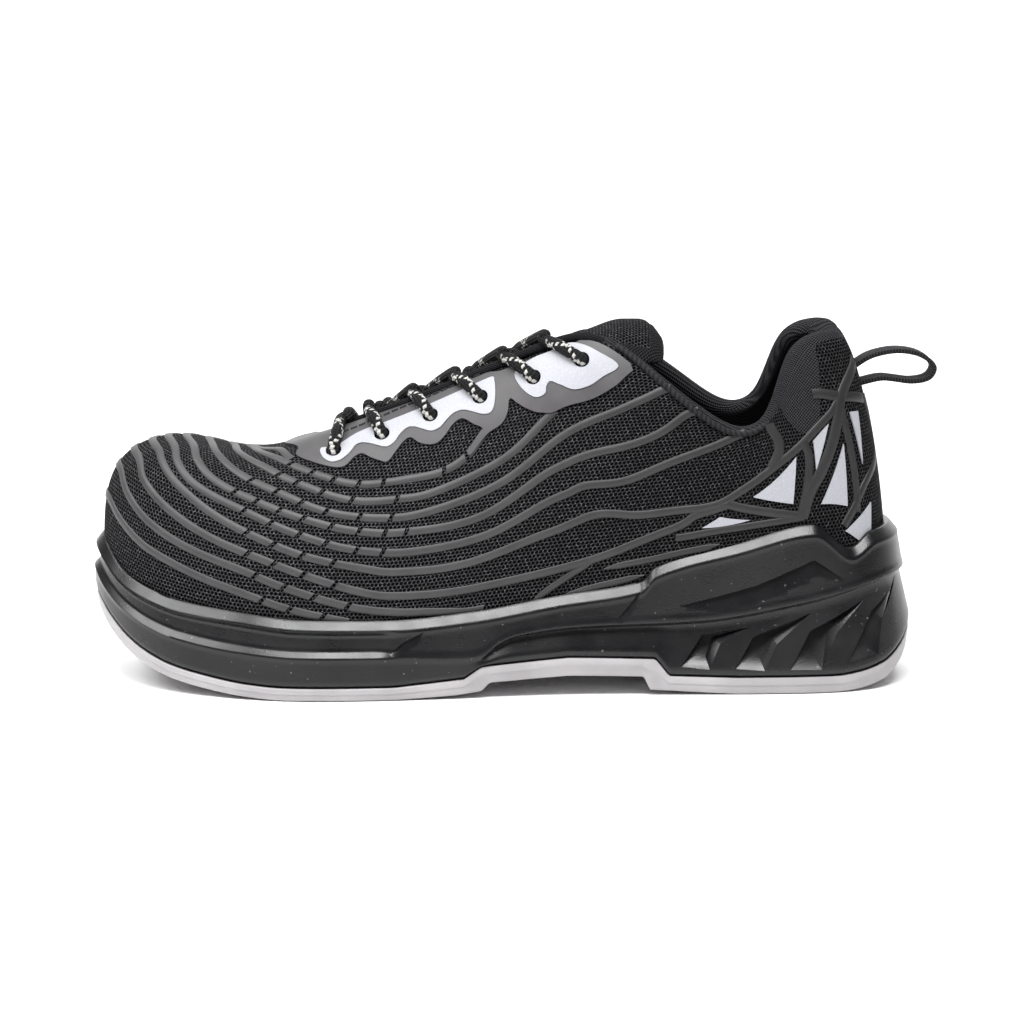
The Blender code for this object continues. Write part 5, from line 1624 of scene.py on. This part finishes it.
def ball_height(along, across, strands=()):
    """Height of a strand's middle where it rests on the eyestay, the tongue and other strands."""
    best = 0.0
    radius = LACE_RADIUS + LACE_REST
    for surface in (*rest_on, *strands):
        for share, angle in BALL_SPOTS:
            x = along + radius * share * math.cos(angle)
            y = across + radius * share * math.sin(angle)
            spot, _, _, _ = surface.ray_cast(framed(x, y, ABOVE_ALL), Vector((0, 0, -1)))
            if spot is not None:
                best = max(best, spot.z / MM + radius * math.sqrt(1 - share * share))
    return best


def taut(places, heights):
    """Corners of a string pulled tight over the given heights."""
    hull = []
    for spot in zip(places, heights):
        while len(hull) > 1:
            (x0, y0), (x1, y1) = hull[-2], hull[-1]
            if (y1 - y0) * (spot[0] - x0) > (spot[1] - y0) * (x1 - x0):
                break
            hull.pop()
        hull.append(spot)
    return np.array(hull)


def edge_at(lateral, along):
    """Point of the throat's edge on one side."""
    turns = THROAT_TURNS if lateral else 1.0 - THROAT_TURNS
    edge = upper_skin(turns, np.ones(len(turns)))
    return np.array([np.interp(along, edge[:, 0], edge[:, axis]) for axis in range(3)])


def flap_path(row, lateral, share):
    """Strand from inside a hole up its flap, a share of the way towards its knob on the edge."""
    number = row if lateral else row + len(EYELET_ROWS)
    turn, rise = EYELETS[number]
    spot, normal, _, _ = frame_at(turn, rise)
    hole = picture(frame_at(*EYELETS[row])[0])
    line = seen([hole + (np.array(KNOBS[row]) - hole) * f for f in (0.3, 0.55, 0.8)])
    turns = EYELETS[row][0] + (line[:, 0] - EYELETS[row][0]) * share
    lying = on_upper(turns if lateral else 1.0 - turns, line[:, 1], np.full(3, EYESTAY_OUT + LACE_RADIUS))
    return [spot - normal * HOLE_DIP, spot + normal * HOLE_RISE, *lying]


def over_gap(start, end, stop_height, strands=()):
    """Points of a strand pulled tight from one plan place to another, over what lies between."""
    shares = np.linspace(0.0, 1.0, GAP_STEPS)
    plan = np.outer(1 - shares, start) + np.outer(shares, end)
    heights = [ball_height(x, y, strands) for x, y in plan]
    heights[-1] = stop_height
    corners = taut(shares, heights)
    return [np.array([*(start * (1 - share) + end * share), height]) for share, height in corners]


def crossing(row, lateral, share, forward, strands):
    """Strand from a hole up its own flap, and forward across the gap to go under the other flap.

    The medial strand lies below, pressed on to the tongue where the lateral one crosses it.
    """
    path = flap_path(row, lateral, share)
    own = edge_at(lateral, path[-1][0])
    other = edge_at(not lateral, path[-1][0] + forward)
    inward = (own - other)[:2] / np.linalg.norm((own - other)[:2])
    level = other[2] - WALL - LACE_RADIUS
    down = [np.array([*(other[:2] + inward * reach), level - dip]) for reach, dip in UNDER_EDGE]
    if lateral:
        gap = over_gap(own[:2], down[0][:2], level, strands)
    else:
        middle = (own[:2] + down[0][:2]) / 2
        gap = over_gap(own[:2], middle, ball_height(*middle))
        gap += over_gap(middle, down[0][:2], level)[1:]
    return even_curve(path + gap + down[1:], LACE_STEP)


def strand_tree(path):
    """Search tree of one strand, for another to lie on."""
    strand = Tubes()
    strand.add(path, LACE_RADIUS, LACE_SIDES)
    points = [framed(*point) for point in np.concatenate(strand.points)]
    return BVHTree.FromPolygons(points, strand.faces)


lace = Tubes()
bar_start = flap_path(0, True, 1.0)
bar_end = flap_path(0, False, 1.0)
bar_across = [edge_at(lateral, path[-1][0])[:2] for lateral, path in ((True, bar_start), (False, bar_end))]
bar_gap = over_gap(*bar_across, ball_height(*bar_across[1]))
lace.add(even_curve(bar_start + bar_gap + bar_end[::-1], LACE_STEP), LACE_RADIUS, LACE_SIDES)
strands = []
for each in CROSSINGS:
    strand_path = crossing(*each, strands)
    lace.add(strand_path, LACE_RADIUS, LACE_SIDES)
    crossed = each.forward == CROSS_FORWARD and not each.lateral
    strands = [strand_tree(strand_path)] if crossed else []

braid, tree, shader = plain_material("flecked_braid", (0.01, 0.01, 0.011), 0.7)
shader.inputs["Specular IOR Level"].default_value = 0.2
along_cord, round_cord = cloth_axes(tree)
slope = math_node(tree, "DIVIDE", along_cord, BRAID_TURN)
turns = math_node(tree, "MULTIPLY", round_cord, BRAID_LAYS)
right_lay = wave(tree, math_node(tree, "ADD", slope, turns), 1.0)
left_lay = wave(tree, math_node(tree, "SUBTRACT", slope, turns), 1.0)
over = wave(tree, along_cord, BRAID_PICK)
under = math_node(tree, "MULTIPLY", over, -1.0)


def yarn_flecks(lay, on_top):
    """Flecks of the yarns of one lay, where they are on top."""
    return math_node(tree, "MULTIPLY", stretch(tree, lay, 0.64, 0.84), stretch(tree, on_top, -0.1, 0.3))


both_lays = math_node(tree, "MAXIMUM", yarn_flecks(right_lay, over), yarn_flecks(left_lay, under))
grouping = wave(tree, along_cord, FLECK_GROUP, -2 * math.pi * FLECK_START / FLECK_GROUP)
group = stretch(tree, grouping, -0.3, 0.1)
flecks = math_node(tree, "MULTIPLY", both_lays, group)
colored(tree, shader, flecks, (0.009, 0.009, 0.01), (0.62, 0.61, 0.58))
yarns = math_node(tree, "MULTIPLY", round_cord, BRAID_YARNS)
fine = math_node(tree, "DIVIDE", along_cord, BRAID_PICK)
right_yarns = wave(tree, math_node(tree, "ADD", fine, yarns), 1.0)
left_yarns = wave(tree, math_node(tree, "SUBTRACT", fine, yarns), 1.0)
weave = math_node(tree, "MULTIPLY", right_yarns, left_yarns)
bump(tree, shader, weave, 0.0004, 0.9)
lace_piece = lace.piece("braided_lace", braid)
on_shoe(lace_piece, "lace_black", "lace_bar", *("lace_cross_%d" % number for number in range(1, 6)))

# Pull loop: black woven webbing, folded out into a flat loop behind the heel.
# Both of its ends are sewn into the back of the collar.
LOOP_WIDTH = 13.0
LOOP_THICK = 1.6
LOOP_ENDS = (113.0, 107.4)
LOOP_TUCK = 3.0
LOOP_STEP = 0.8
LOOP_SHARP = math.radians(50.0)
LOOP_LINE = [
    (16.4, 117.6), (8.0, 119.6), (0.5, 119.0), (-4.6, 116.6), (-7.0, 113.4),
    (-4.8, 109.8), (1.0, 108.6), (8.0, 109.4), (13.0, 109.6),
]
back_skin = upper_skin(np.zeros(101), np.linspace(0.5, 1.0, 101))
loop_line = []
for height in LOOP_ENDS:
    loop_line.append((float(np.interp(height, back_skin[:, 2], back_skin[:, 0])) + LOOP_TUCK, height))
loop_line = [loop_line[0], *LOOP_LINE, loop_line[1]]
loop_path = even_curve(np.array([(along, 0.0, height) for along, height in loop_line]), LOOP_STEP)
loop_run = np.gradient(loop_path, axis=0)
loop_run = loop_run / np.linalg.norm(loop_run, axis=1, keepdims=True)
loop_side = np.cross(loop_run, (0.0, 1.0, 0.0))
loop_profile = [
    (-1, -0.35), (-0.96, -0.5), (0.96, -0.5), (1, -0.35), (1, 0.35), (0.96, 0.5), (-0.96, 0.5), (-1, 0.35),
]
loop_rows = []
loop_places = []
for i, spot in enumerate(loop_path):
    for across, up in loop_profile:
        side = across * LOOP_WIDTH / 2
        loop_rows.append(spot + np.array([0.0, side, 0.0]) + loop_side[i] * up * LOOP_THICK)
        loop_places.append((LOOP_STEP * i, side))
loop_faces = block_faces(0, len(loop_path), len(loop_profile))
webbing, tree, shader = plain_material("webbing", (0.022, 0.022, 0.024), 0.75)
shader.inputs["Specular IOR Level"].default_value = 0.15
run_place, side_place = cloth_axes(tree)
twill = wave(tree, math_node(tree, "ADD", run_place, side_place), 1.1)
ridges = stretch(tree, twill, -0.7, 0.7)
colored(tree, shader, ridges, (0.006, 0.006, 0.007), (0.028, 0.028, 0.03))
bump(tree, shader, twill, 0.0003, 0.8)
loop_piece = add_piece("webbing_loop", loop_rows, loop_faces, webbing, run=loop_places)
loop_piece.data.set_sharp_from_angle(angle=LOOP_SHARP)
on_shoe(loop_piece, "lace_black", "pull_loop")
